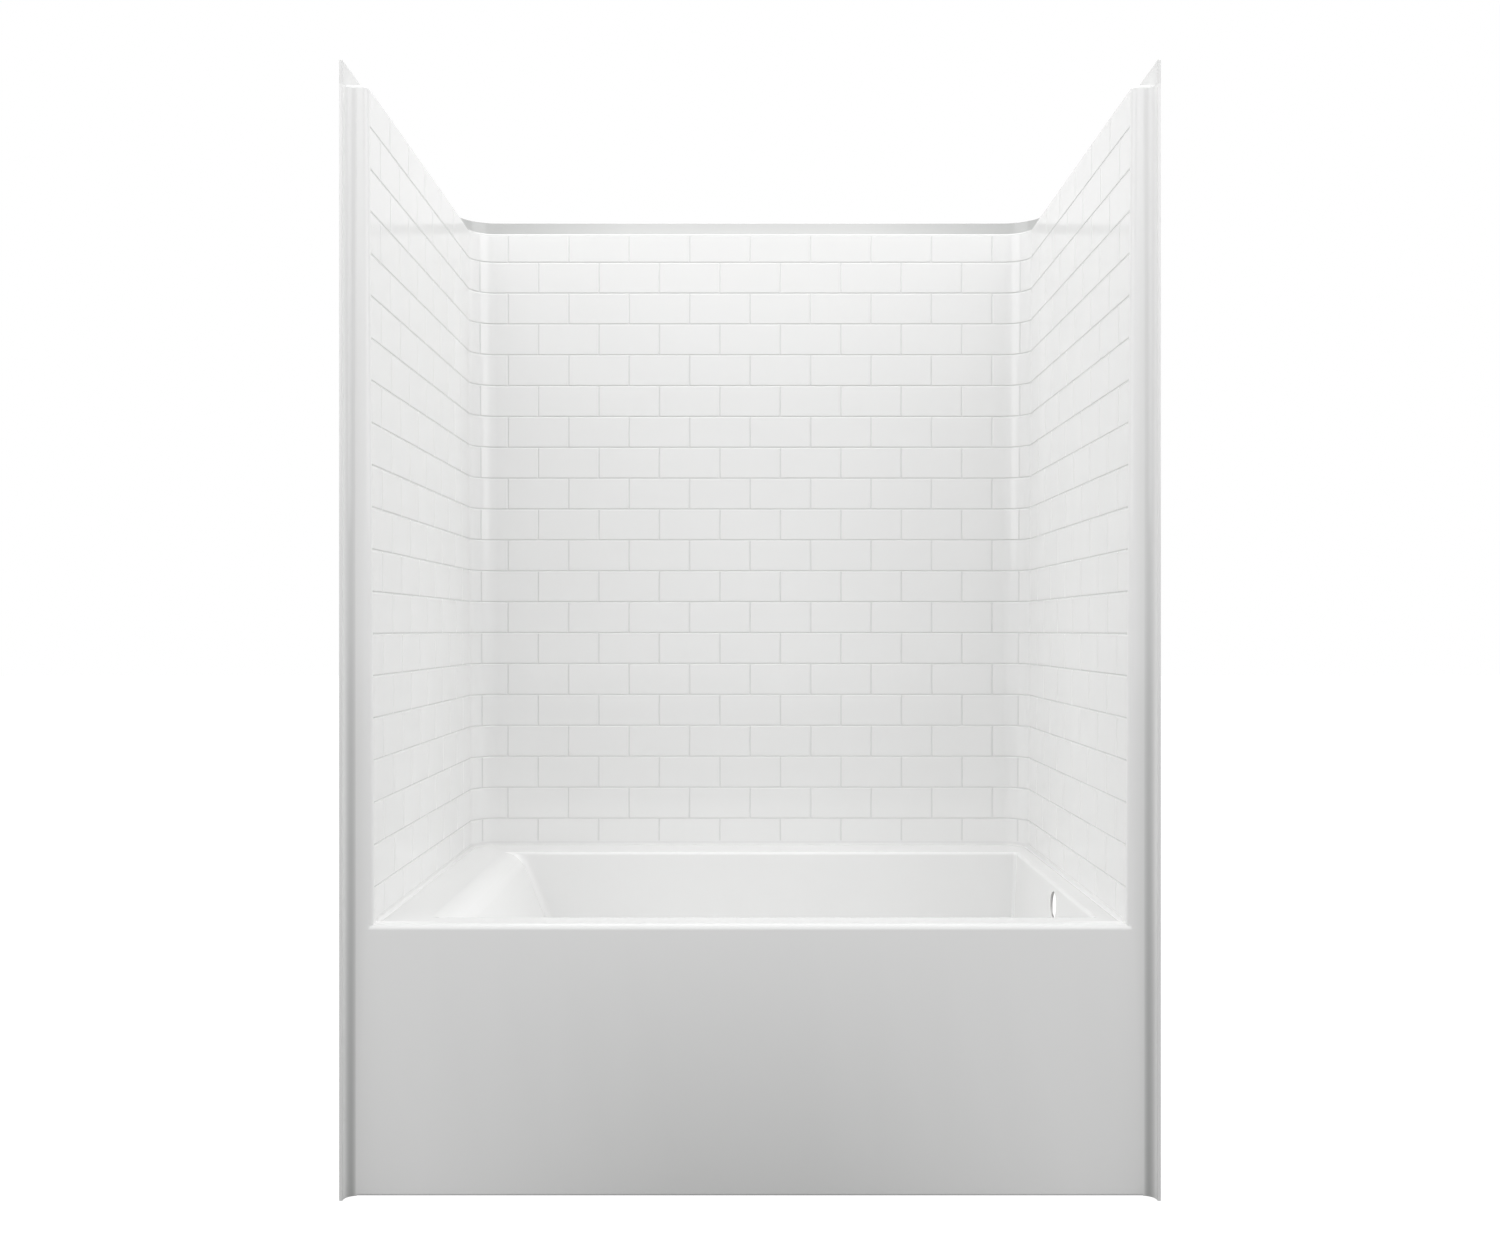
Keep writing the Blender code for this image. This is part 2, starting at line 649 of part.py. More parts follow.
def rounded_ring(left, right, front, back, corners):
    """A ring of (x, depth, z) points round a rectangle whose sides are (place, height) pairs.

    corners holds the radius at front left, front right, back right and back left.
    """
    (x0, z0), (x1, z1), (d0, z2), (d1, z3) = left, right, front, back
    places = [
        (x0, d0, 1, 1, z0, z2, pi), (x1, d0, -1, 1, z2, z1, 1.5 * pi),
        (x1, d1, -1, -1, z1, z3, 0.0), (x0, d1, 1, -1, z3, z0, 0.5 * pi),
    ]
    ring = []
    for (x, depth, sx, sd, first, last, start), radius in zip(places, corners):
        for i in range(BASIN_CORNER_STEPS + 1):
            share = i / BASIN_CORNER_STEPS
            turn = start + pi / 2 * share
            across = x + radius * (sx + cos(turn))
            ring.append(at(across, depth + radius * (sd + sin(turn)), first + (last - first) * share))
    return ring


def basin_profile(edge, roll, slope, blend, inwards, thickness):
    """(place, height) points down one side of the basin, from the rim to the floor.

    slope is the side's angle from upright and inwards is +1 or -1, towards the basin's middle.
    The points lie thickness outside the basin's own surface.
    """
    turn_end = pi / 2 - slope
    points = []
    for i in range(ROLL_STEPS + 1):
        turn = turn_end * i / ROLL_STEPS
        radius = roll - thickness
        points.append((edge + inwards * radius * sin(turn), RIM_HEIGHT - roll + radius * cos(turn)))
    tangent_place = edge + inwards * roll * sin(turn_end)
    tangent_height = RIM_HEIGHT - roll * (1 - cos(turn_end))
    meeting = tangent_place + inwards * (tangent_height - FLOOR_HEIGHT) * tan(slope)
    centre = meeting + inwards * blend * tan(turn_end / 2)
    for i in range(ROLL_STEPS + 1):
        turn = turn_end * (1 - i / ROLL_STEPS)
        radius = blend + thickness
        points.append((centre - inwards * radius * sin(turn), FLOOR_HEIGHT + blend - radius * cos(turn)))
    return points


def basin_sides(thickness):
    """Profiles of the backrest, the drain end, the front and the back of the basin."""
    return [
        basin_profile(DECK_EDGE, DECK_ROLL, BACKREST_ANGLE, FLOOR_BLEND, 1, thickness),
        basin_profile(DRAIN_END_EDGE, BASIN_ROLL, BASIN_DRAFT, FLOOR_BLEND, -1, thickness),
        basin_profile(FRONT_RIM, BASIN_ROLL, BASIN_DRAFT, FLOOR_BLEND, 1, thickness),
        basin_profile(BASIN_BACK_EDGE, BASIN_ROLL, BASIN_DRAFT, FLOOR_BLEND, -1, thickness),
    ]


def basin_rings(thickness):
    corner = BASIN_CORNER + thickness
    return [rounded_ring(*places, [corner] * 4) for places in zip(*basin_sides(thickness))]


def shelf_ring(inset, z):
    """The rim's outer edge under the walls, moved in by inset."""
    x = FACE_HALF_WIDTH + JOINT_FLANGE_DEPTH - inset
    front = (WALL_FRONT + inset, z)
    back = (BACK_FACE + JOINT_FLANGE_DEPTH - inset, z)
    rear = CORNER_RADIUS + JOINT_FLANGE_DEPTH - inset
    near = SHELF_FRONT_CORNER
    return rounded_ring((-x, z), (x, z), front, back, [near, near, rear, rear])


def cut_holes(obj, holes):
    """Cuts all the round holes of a shell in one pass, each a (start, end, radius, sides)."""
    mesh = bmesh.new()
    for start, end, radius, sides in holes:
        axis = end - start
        turn = axis.to_track_quat("Z", "Y").to_matrix().to_4x4()
        ends = {"radius1": radius, "radius2": radius, "cap_ends": True}
        place = Matrix.Translation((start + end) / 2) @ turn
        bmesh.ops.create_cone(mesh, segments=sides, depth=axis.length, matrix=place, **ends)
    bmesh.ops.recalc_face_normals(mesh, faces=mesh.faces)
    cutter = bpy.data.objects.new(f"{obj.name}_holes", bpy.data.meshes.new(f"{obj.name}_holes"))
    mesh.to_mesh(cutter.data)
    mesh.free()
    bpy.context.collection.objects.link(cutter)
    cutter.hide_render = True
    cutter.display_type = "WIRE"
    modifier = obj.modifiers.new(cutter.name, "BOOLEAN")
    modifier.operation = "DIFFERENCE"
    modifier.solver = "EXACT"
    modifier.object = cutter


def drain_cut(radius, low, high):
    """A hole down through the basin floor, or through the board under it, at the drain."""
    start, end = (at(DRAIN_X, BASIN_MIDDLE, z) for z in (low - CUT_OVERRUN, high + CUT_OVERRUN))
    return start, end, radius, HOLE_SIDES


def overflow_cut():
    fall = (RIM_HEIGHT - BASIN_ROLL - OVERFLOW_HEIGHT) * tan(BASIN_DRAFT)
    wall_x = DRAIN_END_EDGE - BASIN_ROLL * cos(BASIN_DRAFT) - fall
    near, far = wall_x - SHEET - CUT_OVERRUN, wall_x + SHEET * 2 + CUT_OVERRUN
    start, end = (at(x, OVERFLOW_FROM_LIP, OVERFLOW_HEIGHT) for x in (near, far))
    return start, end, OVERFLOW_HOLE / 2, HOLE_SIDES


def make_tub(material):
    inside, outside = basin_rings(0.0), basin_rings(SHEET)
    skirt_foot = RIM_HEIGHT - JOINT_FLANGE_DEPTH
    shelf = [shelf_ring(0.0, RIM_HEIGHT), shelf_ring(0.0, skirt_foot)]
    shelf += [shelf_ring(JOINT_FLANGE, skirt_foot), shelf_ring(JOINT_FLANGE, RIM_HEIGHT - SHEET)]
    return add_object("tub", loft([*inside[::-1], *shelf, *outside]), material)


# Sealant, tape, boards and timber


def bead_section():
    """(h, z) outline of the hollow-faced sealant bead in the angle between wall and rim."""
    corner = (-CLEARANCE, RIM_HEIGHT + CLEARANCE)
    low, high = corner[0] - BEAD, corner[1] + BEAD
    hollow = arc((low, high), BEAD - BEAD_TOE, -pi / 2, 0.0, LEDGE_EDGE_STEPS)
    return [corner, (low, corner[1]), *hollow, (corner[0], high)]


def make_rim_sealant(material):
    turns = [FLAT_HALF + ARC_LENGTH * i / CORNER_STEPS for i in range(CORNER_STEPS + 1)]
    right = [LAST_BACK_GROUT, *turns, LAST_SIDE_GROUT_U, SIDE_FRONT_U]
    stations = [*[-u for u in reversed(right)], *right]
    rings = [[on_wall((u, h, z)) for h, z in bead_section()] for u in stations]
    return add_object("rim_sealant", loft(rings), material)


def make_tapes(material):
    """Sealing tape over the tips of each pair of joint flanges."""
    h = (JOINT_FLANGE_DEPTH + CLEARANCE, JOINT_FLANGE_DEPTH + CLEARANCE + TAPE_THICKNESS)
    z = (WALL_FOOT, WALL_TOP - SHEET - CLEARANCE)
    for name, side in (("left", -1), ("right", 1)):
        u = (side * (SEAM_U - JOINT_FLANGE), side * (SIDE_REAR_U + JOINT_FLANGE))
        slab_on_wall(f"{name}_corner_tape", sorted(u), h, z, material)
        u = (side * (SIDE_FRONT_U - JOINT_FLANGE), side * (SIDE_FRONT_U + JOINT_FLANGE))
        slab_on_wall(f"{name}_front_tape", sorted(u), h, z, material)
    foot = RIM_HEIGHT - JOINT_FLANGE_DEPTH - CLEARANCE
    x = FACE_HALF_WIDTH - TIMBER
    depth = (FRAME_BACK - JOINT_FLANGE, WALL_FRONT + JOINT_FLANGE)
    box("apron_tape", (-x, x), depth, (foot - TAPE_THICKNESS, foot), material)


def up_wall(shares):
    """Heights at these shares of the way from the rim to the ledge."""
    return [RIM_HEIGHT + (WALL_TOP - RIM_HEIGHT) * share for share in shares]


def make_wall_boards(material):
    h = (SHEET + CLEARANCE, SHEET + CLEARANCE + WALL_BOARD)
    near, far = along(FRAME_BACK + SIDE_BOARD_INSET), along(SIDE_GROUT_FROM_LIP)
    slab_on_wall("left_wall_board", (-near, -far), h, up_wall(LEFT_BOARD_SHARES), material)
    slab_on_wall("right_wall_board", (far, near), h, up_wall(RIGHT_BOARD_SHARES), material)
    reach = FLAT_HALF * BACK_BOARD_SHARE
    slab_on_wall("back_wall_board_lower", (-reach, reach), h, up_wall(LOWER_BOARD_SHARES), material)
    slab_on_wall("back_wall_board_upper", (-reach, reach), h, up_wall(UPPER_BOARD_SHARES), material)


def make_base(plywood, timber):
    """The board bonded under the basin floor and the bearers that carry it."""
    left, right, front, back = (side[-1][0] for side in basin_sides(SHEET))
    x = (left - BASE_MARGIN, right + BASE_MARGIN)
    depth = (front - BASE_MARGIN, back + BASE_MARGIN)
    board = box("base_board", x, depth, (BOARD_FOOT, UNDER_FLOOR), plywood)
    cut_holes(board, [drain_cut(DRAIN_HOLE, BOARD_FOOT, UNDER_FLOOR)])
    height = (0.0, BOARD_FOOT - CLEARANCE)
    for name, start, share in (
        ("front_bearer", depth[0] + BEARER_INSET, FULL_SHARE),
        ("middle_bearer", BASIN_MIDDLE - TIMBER / 2, MIDDLE_BEARER_SHARE),
        ("rear_bearer", depth[1] - BEARER_INSET - TIMBER, FULL_SHARE),
    ):
        end = x[0] + (x[1] - x[0]) * share
        box(name, (x[0], end), (start, start + TIMBER), height, timber)


def make_apron_timber(timber):
    start = COLUMN_FACE + SHEET + CLEARANCE
    depth = (start, start + TIMBER)
    rail_foot = SHEET + CLEARANCE
    rail_top = rail_foot + TIMBER_DEPTH
    x = FACE_HALF_WIDTH
    box("apron_rail", (-x, x), depth, (rail_foot, rail_top), timber)
    top = RIM_HEIGHT - JOINT_FLANGE_DEPTH - CLEARANCE * 2 - TAPE_THICKNESS
    for name, side in (("left", -1), ("right", 1)):
        centre = side * STIFFENER_SHARE * FACE_HALF_WIDTH
        x = (centre - TIMBER_DEPTH / 2, centre + TIMBER_DEPTH / 2)
        box(f"{name}_apron_stiffener", x, depth, (rail_top + CLEARANCE, top), timber)


def make_rim_supports(timber):
    """Posts under the two ends of the rim and a rail under its back."""
    inner = FACE_HALF_WIDTH + JOINT_FLANGE_DEPTH - JOINT_FLANGE - POST_FROM_EDGE
    for name, side in (("left", -1), ("right", 1)):
        x = sorted((side * inner, side * (inner - TIMBER)))
        front = WALL_FRONT + POST_INSET
        rear = BACK_FACE - POST_INSET
        box(f"{name}_front_post", x, (front, front + TIMBER_DEPTH), (0.0, UNDER_RIM), timber)
        box(f"{name}_rear_post", x, (rear - TIMBER_DEPTH, rear), (0.0, UNDER_RIM), timber)
    middle = (BASIN_BACK_EDGE + BACK_FACE + JOINT_FLANGE_DEPTH) / 2
    half = RAIL_SHARE * FACE_HALF_WIDTH
    depth = (middle - TIMBER / 2, middle + TIMBER / 2)
    box("back_rim_rail", (-half, half), depth, (UNDER_RIM - TIMBER, UNDER_RIM), timber)


# Seam bolts


def bolt_ring(radius, sides, z):
    """Points round the bolt. A six-sided ring has every second point in the middle of a flat."""
    ring = []
    for i in range(BOLT_SIDES):
        turn = 2 * pi * i / BOLT_SIDES
        on_flat = sides == HEX_SIDES and i % 2
        reach = radius * cos(pi / HEX_SIDES) if on_flat else radius
        ring.append(Vector((reach * cos(turn), reach * sin(turn), z)))
    return ring


def bolt_mesh(grip):
    """Hexagon-headed bolt with its nut on, along +Z, its head under z = 0 and its nut over z = grip."""
    head, shank = BOLT_HEAD / 2, BOLT / 2
    seat = grip + CLEARANCE
    nut_top = seat + BOLT_NUT_HEIGHT
    levels = [
        (head, HEX_SIDES, -BOLT_HEAD_HEIGHT - CLEARANCE), (head, HEX_SIDES, -CLEARANCE),
        (shank, BOLT_SIDES, -CLEARANCE), (shank, BOLT_SIDES, seat),
        (head, HEX_SIDES, seat), (head, HEX_SIDES, nut_top),
        (shank, BOLT_SIDES, nut_top), (shank, BOLT_SIDES, nut_top + BOLT_OVERHANG),
    ]
    return loft([bolt_ring(*each) for each in levels])


def add_bolt(name, start, direction, grip, material):
    obj = add_object(name, bolt_mesh(grip), material, smooth=False)
    obj.rotation_euler = direction.to_track_quat("Z", "Y").to_euler()
    obj.location = start


def bolt_hole(start, direction, grip):
    far = start + direction * (grip + CUT_OVERRUN)
    return start - direction * CUT_OVERRUN, far, BOLT_HOLE / 2, BOLT_SIDES


def spread(start, end, count):
    return [start + (end - start) * i / (count - 1) for i in range(count)]


def numbered(name, starts, direction, grip):
    return [(f"{name}_{i}", start, direction, grip) for i, start in enumerate(starts, 1)]


def corner_bolts(name, side):
    """Bolts through an end wall's rear flange and the back wall's, which leans at another angle."""
    bolts = []
    for i, z in enumerate(seam_heights(), 1):
        near = on_wall((side * (SIDE_REAR_U + JOINT_FLANGE), BOLT_FROM_FACE, z))
        far = on_wall((side * (SEAM_U - JOINT_FLANGE), BOLT_FROM_FACE, z))
        bolts.append((f"{name}_corner_bolt_{i}", near, BACKWARDS, far.y - near.y))
    return bolts


def seam_heights():
    return spread(RIM_HEIGHT + SEAM_END_MARGIN, WALL_TOP - SEAM_END_MARGIN, SEAM_BOLT_COUNT)


def front_bolts(name, side):
    starts = []
    for z in seam_heights():
        on_flange = on_wall((side * (SIDE_REAR_U + JOINT_FLANGE), BOLT_FROM_FACE, z))
        starts.append(at(on_flange.x, FRAME_BACK - JOINT_FLANGE, z))
    return numbered(f"{name}_front_bolt", starts, BACKWARDS, FLANGE_GRIP)


def side_shelf_bolts(name, side):
    x = side * (FACE_HALF_WIDTH + BOLT_FROM_FACE)
    depths = spread(FRAME_BACK + SEAM_END_MARGIN * 2, SIDE_REAR - SEAM_END_MARGIN, SIDE_SHELF_BOLT_COUNT)
    starts = [at(x, depth, FOOT_FLANGE_TOP) for depth in depths]
    return numbered(f"{name}_shelf_bolt", starts, DOWN, SHELF_GRIP)


def across(count, depth, z):
    """Places spread over the width of the opening."""
    reach = FACE_HALF_WIDTH - SEAM_END_MARGIN
    return [at(x, depth, z) for x in spread(-reach, reach, count)]


def seam_bolts():
    """The bolts of each joint, with the shells that they pass through."""
    joints = []
    for name, side in (("left", -1), ("right", 1)):
        wall = f"{name}_end_wall"
        joints.append((corner_bolts(name, side), (wall, "back_wall")))
        joints.append((front_bolts(name, side), ("front_frame", wall)))
        joints.append((side_shelf_bolts(name, side), (wall, "tub")))
    places = across(APRON_BOLT_COUNT, FRAME_BACK - JOINT_FLANGE, RIM_HEIGHT - BOLT_FROM_FACE)
    joints.append((numbered("apron_bolt", places, BACKWARDS, FLANGE_GRIP), ("front_frame", "tub")))
    places = across(BACK_SHELF_BOLT_COUNT, BACK_FACE + BOLT_FROM_FACE, FOOT_FLANGE_TOP)
    joints.append((numbered("back_shelf_bolt", places, DOWN, SHELF_GRIP), ("back_wall", "tub")))
    return joints


def make_bolts(material):
    """Adds the bolts and returns the holes that they need in each shell."""
    holes = {}
    for bolts, shells in seam_bolts():
        for name, start, direction, grip in bolts:
            add_bolt(name, start, direction, grip, material)
            for shell in shells:
                holes.setdefault(shell, []).append(bolt_hole(start, direction, grip))
    return holes


def make_unit():
    clear_scene()
    shell = make_material("white_gelcoat", SHELL_COLOUR, SHELL_ROUGHNESS_SHARE)
    sealant = make_material("white_sealant", SEALANT_COLOUR, SEALANT_ROUGHNESS_SHARE)
    tape = make_material("sealing_tape", TAPE_COLOUR, TAPE_ROUGHNESS_SHARE)
    plywood = make_material("plywood", PLYWOOD_COLOUR, WOOD_ROUGHNESS_SHARE)
    timber = make_material("softwood", TIMBER_COLOUR, WOOD_ROUGHNESS_SHARE)
    zinc = make_material("zinc_plate", ZINC_COLOUR, ZINC_ROUGHNESS_SHARE, METAL_SHARE)
    make_front_frame(shell)
    make_tub(shell)
    make_end_wall("left_end_wall", -1, shell)
    make_end_wall("right_end_wall", 1, shell)
    make_back_wall(shell)
    make_rim_sealant(sealant)
    make_tapes(tape)
    make_wall_boards(plywood)
    make_base(plywood, timber)
    make_apron_timber(timber)
    make_rim_supports(timber)
    holes = make_bolts(zinc)
    holes["tub"] += [drain_cut(DRAIN_HOLE / 2, FLOOR_HEIGHT - SHEET, FLOOR_HEIGHT), overflow_cut()]
    for name, places in holes.items():
        cut_holes(bpy.data.objects[name], places)


make_unit()
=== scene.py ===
from math import cos, floor, pi, radians, sin, tan

import bmesh
import bpy
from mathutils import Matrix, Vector


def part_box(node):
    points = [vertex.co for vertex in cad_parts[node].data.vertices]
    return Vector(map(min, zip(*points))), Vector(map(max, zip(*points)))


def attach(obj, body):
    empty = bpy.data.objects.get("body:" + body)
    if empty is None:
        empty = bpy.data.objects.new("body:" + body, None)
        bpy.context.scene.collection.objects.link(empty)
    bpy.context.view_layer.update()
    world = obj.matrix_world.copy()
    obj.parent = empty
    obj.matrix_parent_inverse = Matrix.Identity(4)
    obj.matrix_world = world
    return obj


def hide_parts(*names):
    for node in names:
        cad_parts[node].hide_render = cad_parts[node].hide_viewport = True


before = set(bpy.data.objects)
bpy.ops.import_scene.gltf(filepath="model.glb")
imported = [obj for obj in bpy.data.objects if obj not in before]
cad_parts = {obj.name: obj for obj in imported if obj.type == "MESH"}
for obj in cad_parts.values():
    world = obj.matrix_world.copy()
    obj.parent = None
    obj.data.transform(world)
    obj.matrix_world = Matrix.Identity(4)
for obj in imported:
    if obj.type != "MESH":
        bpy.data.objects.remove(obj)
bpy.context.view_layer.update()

# Room: a studio floor, shown white but keeping the unit's shadow, and white all round. Two soft lamps
# stand in front, one on each side, and a very broad one hangs over the open top. The camera stands
# straight in front, as in the photograph, with a 35 mm lens on a 36 mm wide frame.
WHITE = (1.0, 1.0, 1.0, 1.0)
FLOOR_SIZE = 60.0
FLOOR_COLOUR = (0.26, 0.26, 0.26, 1.0)
FLOOR_GLOW = 0.90
ROOM_LIGHT = 0.58
SIDE_LAMP_SIZE = (2.8, 2.2)
SIDE_LAMP_PLACE = (2.4, -2.4, 2.6)
SIDE_LAMP_AIM = (-0.5, 0.1, 1.5)
SIDE_LAMP_POWER = 33.0
TOP_LAMP_SIZE = (5.5, 4.2)
TOP_LAMP_PLACE = (0.0, -0.3, 4.6)
TOP_LAMP_AIM = (0.0, 0.0, 0.0)
TOP_LAMP_POWER = 121.0
CAMERA_PLACE = (0.0, -3.25235, 1.0586)
LENS_LENGTH = 35.0
LENS_FRAME_WIDTH = 36.0


def link(material, start, end):
    material.node_tree.links.new(start, end)


def place_floor():
    mesh = bmesh.new()
    bmesh.ops.create_grid(mesh, x_segments=8, y_segments=8, size=FLOOR_SIZE / 2)
    data = bpy.data.meshes.new("studio_floor")
    mesh.to_mesh(data)
    mesh.free()
    floor_sheet = bpy.data.objects.new("studio_floor", data)
    bpy.context.collection.objects.link(floor_sheet)
    paint = bpy.data.materials.new("studio_floor_paint")
    paint.use_nodes = True
    nodes = paint.node_tree.nodes
    shader = nodes["Principled BSDF"]
    shader.inputs["Base Color"].default_value = FLOOR_COLOUR
    shader.inputs["Roughness"].default_value = 0.9
    shader.inputs["Specular IOR Level"].default_value = 0.1
    glow = nodes.new("ShaderNodeEmission")
    glow.inputs["Strength"].default_value = FLOOR_GLOW
    seen = nodes.new("ShaderNodeLightPath")
    lit = nodes.new("ShaderNodeAddShader")
    choice = nodes.new("ShaderNodeMixShader")
    link(paint, shader.outputs["BSDF"], lit.inputs[0])
    link(paint, glow.outputs["Emission"], lit.inputs[1])
    link(paint, seen.outputs["Is Camera Ray"], choice.inputs["Fac"])
    link(paint, shader.outputs["BSDF"], choice.inputs[1])
    link(paint, lit.outputs["Shader"], choice.inputs[2])
    link(paint, choice.outputs["Shader"], nodes["Material Output"].inputs["Surface"])
    data.materials.append(paint)


def arithmetic(nodes, operation, second=None):
    """A math node, with its second value fixed where one is given."""
    node = nodes.new("ShaderNodeMath")
    node.operation = operation
    if second is not None:
        node.inputs[1].default_value = second
    return node


def light_room():
    """Soft white light from all sides. Seen directly or mirrored, the surroundings are plain white."""
    world = bpy.data.worlds.new("studio")
    bpy.context.scene.world = world
    world.use_nodes = True
    nodes = world.node_tree.nodes
    soft = nodes["Background"]
    soft.inputs["Color"].default_value = WHITE
    soft.inputs["Strength"].default_value = ROOM_LIGHT
    white = nodes.new("ShaderNodeBackground")
    white.inputs["Color"].default_value = WHITE
    white.inputs["Strength"].default_value = 1.0
    seen = nodes.new("ShaderNodeLightPath")
    either = arithmetic(nodes, "MAXIMUM")
    any_of_them = arithmetic(nodes, "MAXIMUM")
    choice = nodes.new("ShaderNodeMixShader")
    join = world.node_tree.links.new
    join(seen.outputs["Is Camera Ray"], either.inputs[0])
    join(seen.outputs["Is Glossy Ray"], either.inputs[1])
    join(either.outputs[0], any_of_them.inputs[0])
    join(seen.outputs["Is Transmission Ray"], any_of_them.inputs[1])
    join(any_of_them.outputs[0], choice.inputs["Fac"])
    join(soft.outputs["Background"], choice.inputs[1])
    join(white.outputs["Background"], choice.inputs[2])
    join(choice.outputs["Shader"], nodes["World Output"].inputs["Surface"])


def hang_lamp(name, size, place, aim, power):
    lamp = bpy.data.lights.new(name, "AREA")
    lamp.shape = "RECTANGLE"
    lamp.size, lamp.size_y = size
    lamp.energy = power
    holder = bpy.data.objects.new(name, lamp)
    holder.location = place
    holder.rotation_euler = (Vector(aim) - Vector(place)).to_track_quat("-Z", "Y").to_euler()
    bpy.context.collection.objects.link(holder)


def place_camera():
    lens = bpy.data.cameras.new("camera")
    lens.lens = LENS_LENGTH
    lens.sensor_width = LENS_FRAME_WIDTH
    lens.clip_end = 200.0
    camera = bpy.data.objects.new("camera", lens)
    camera.location = CAMERA_PLACE
    camera.rotation_euler = (radians(90), 0.0, 0.0)
    bpy.context.collection.objects.link(camera)
    bpy.context.scene.camera = camera


place_floor()
light_room()
for side, side_name in ((-1, "left"), (1, "right")):
    near = (side * SIDE_LAMP_PLACE[0], *SIDE_LAMP_PLACE[1:])
    far = (side * SIDE_LAMP_AIM[0], *SIDE_LAMP_AIM[1:])
    hang_lamp(f"{side_name}_lamp", SIDE_LAMP_SIZE, near, far, SIDE_LAMP_POWER)
hang_lamp("top_lamp", TOP_LAMP_SIZE, TOP_LAMP_PLACE, TOP_LAMP_AIM, TOP_LAMP_POWER)
place_camera()
bpy.context.scene.view_settings.view_transform = "Standard"

# Bearers, posts, rails and stiffeners: planed softwood, 38 mm thick, with eased edges.
# They carry the basin floor and the rim and keep the apron flat. Each is cut square and bonded to its shell.
SOFTWOOD_EDGE = 0.0025
SOFTWOOD_PALE = (0.76, 0.60, 0.39, 1.0)
SOFTWOOD_DARK = (0.58, 0.38, 0.19, 1.0)
GRAIN_STRETCH = (0.06, 1.0, 1.0)
HEART_PLACE = (0.31, 0.043, 0.027)


def new_group(name, inputs, outputs):
    """A shader node group with named sockets, and the sockets' own nodes inside it."""
    group = bpy.data.node_groups.new(name, "ShaderNodeTree")
    for label, kind, value in inputs:
        socket = group.interface.new_socket(label, in_out="INPUT", socket_type=kind)
        if value is not None:
            socket.default_value = value
    for label, kind in outputs:
        group.interface.new_socket(label, in_out="OUTPUT", socket_type=kind)
    return group, group.nodes.new("NodeGroupInput"), group.nodes.new("NodeGroupOutput")


def noise(nodes, scale, detail=2.0):
    texture = nodes.new("ShaderNodeTexNoise")
    texture.inputs["Scale"].default_value = scale
    texture.inputs["Detail"].default_value = detail
    return texture


def blend(nodes, first=WHITE, second=WHITE):
    """Two colours, mixed by the node's Factor."""
    mixed = nodes.new("ShaderNodeMix")
    mixed.data_type = "RGBA"
    mixed.inputs["A"].default_value = first
    mixed.inputs["B"].default_value = second
    return mixed


def ramp(nodes, low, high):
    """A value that climbs from 0 at low to 1 at high."""
    spread = nodes.new("ShaderNodeMapRange")
    spread.inputs["From Min"].default_value = low
    spread.inputs["From Max"].default_value = high
    return spread


def make_wear_group():
    """Cloudy marks of dust and handling, as a mask from 0 to 1."""
    group, given, result = new_group(
        "handling_marks",
        [("Size", "NodeSocketFloat", 6.0), ("Amount", "NodeSocketFloat", 0.5)],
        [("Mask", "NodeSocketFloat")],
    )
    place = group.nodes.new("ShaderNodeTexCoord").outputs["Object"]
    cloud = group.nodes.new("ShaderNodeTexNoise")
    cloud.inputs["Detail"].default_value = 6.0
    cloud.inputs["Roughness"].default_value = 0.62
    fade = ramp(group.nodes, low=0.42, high=0.72)
    scaled = arithmetic(group.nodes, "MULTIPLY")
    join = group.links.new
    join(place, cloud.inputs["Vector"])
    join(given.outputs["Size"], cloud.inputs["Scale"])
    join(cloud.outputs["Fac"], fade.inputs["Value"])
    join(fade.outputs["Result"], scaled.inputs[0])
    join(given.outputs["Amount"], scaled.inputs[1])
    join(scaled.outputs[0], result.inputs["Mask"])
    return group


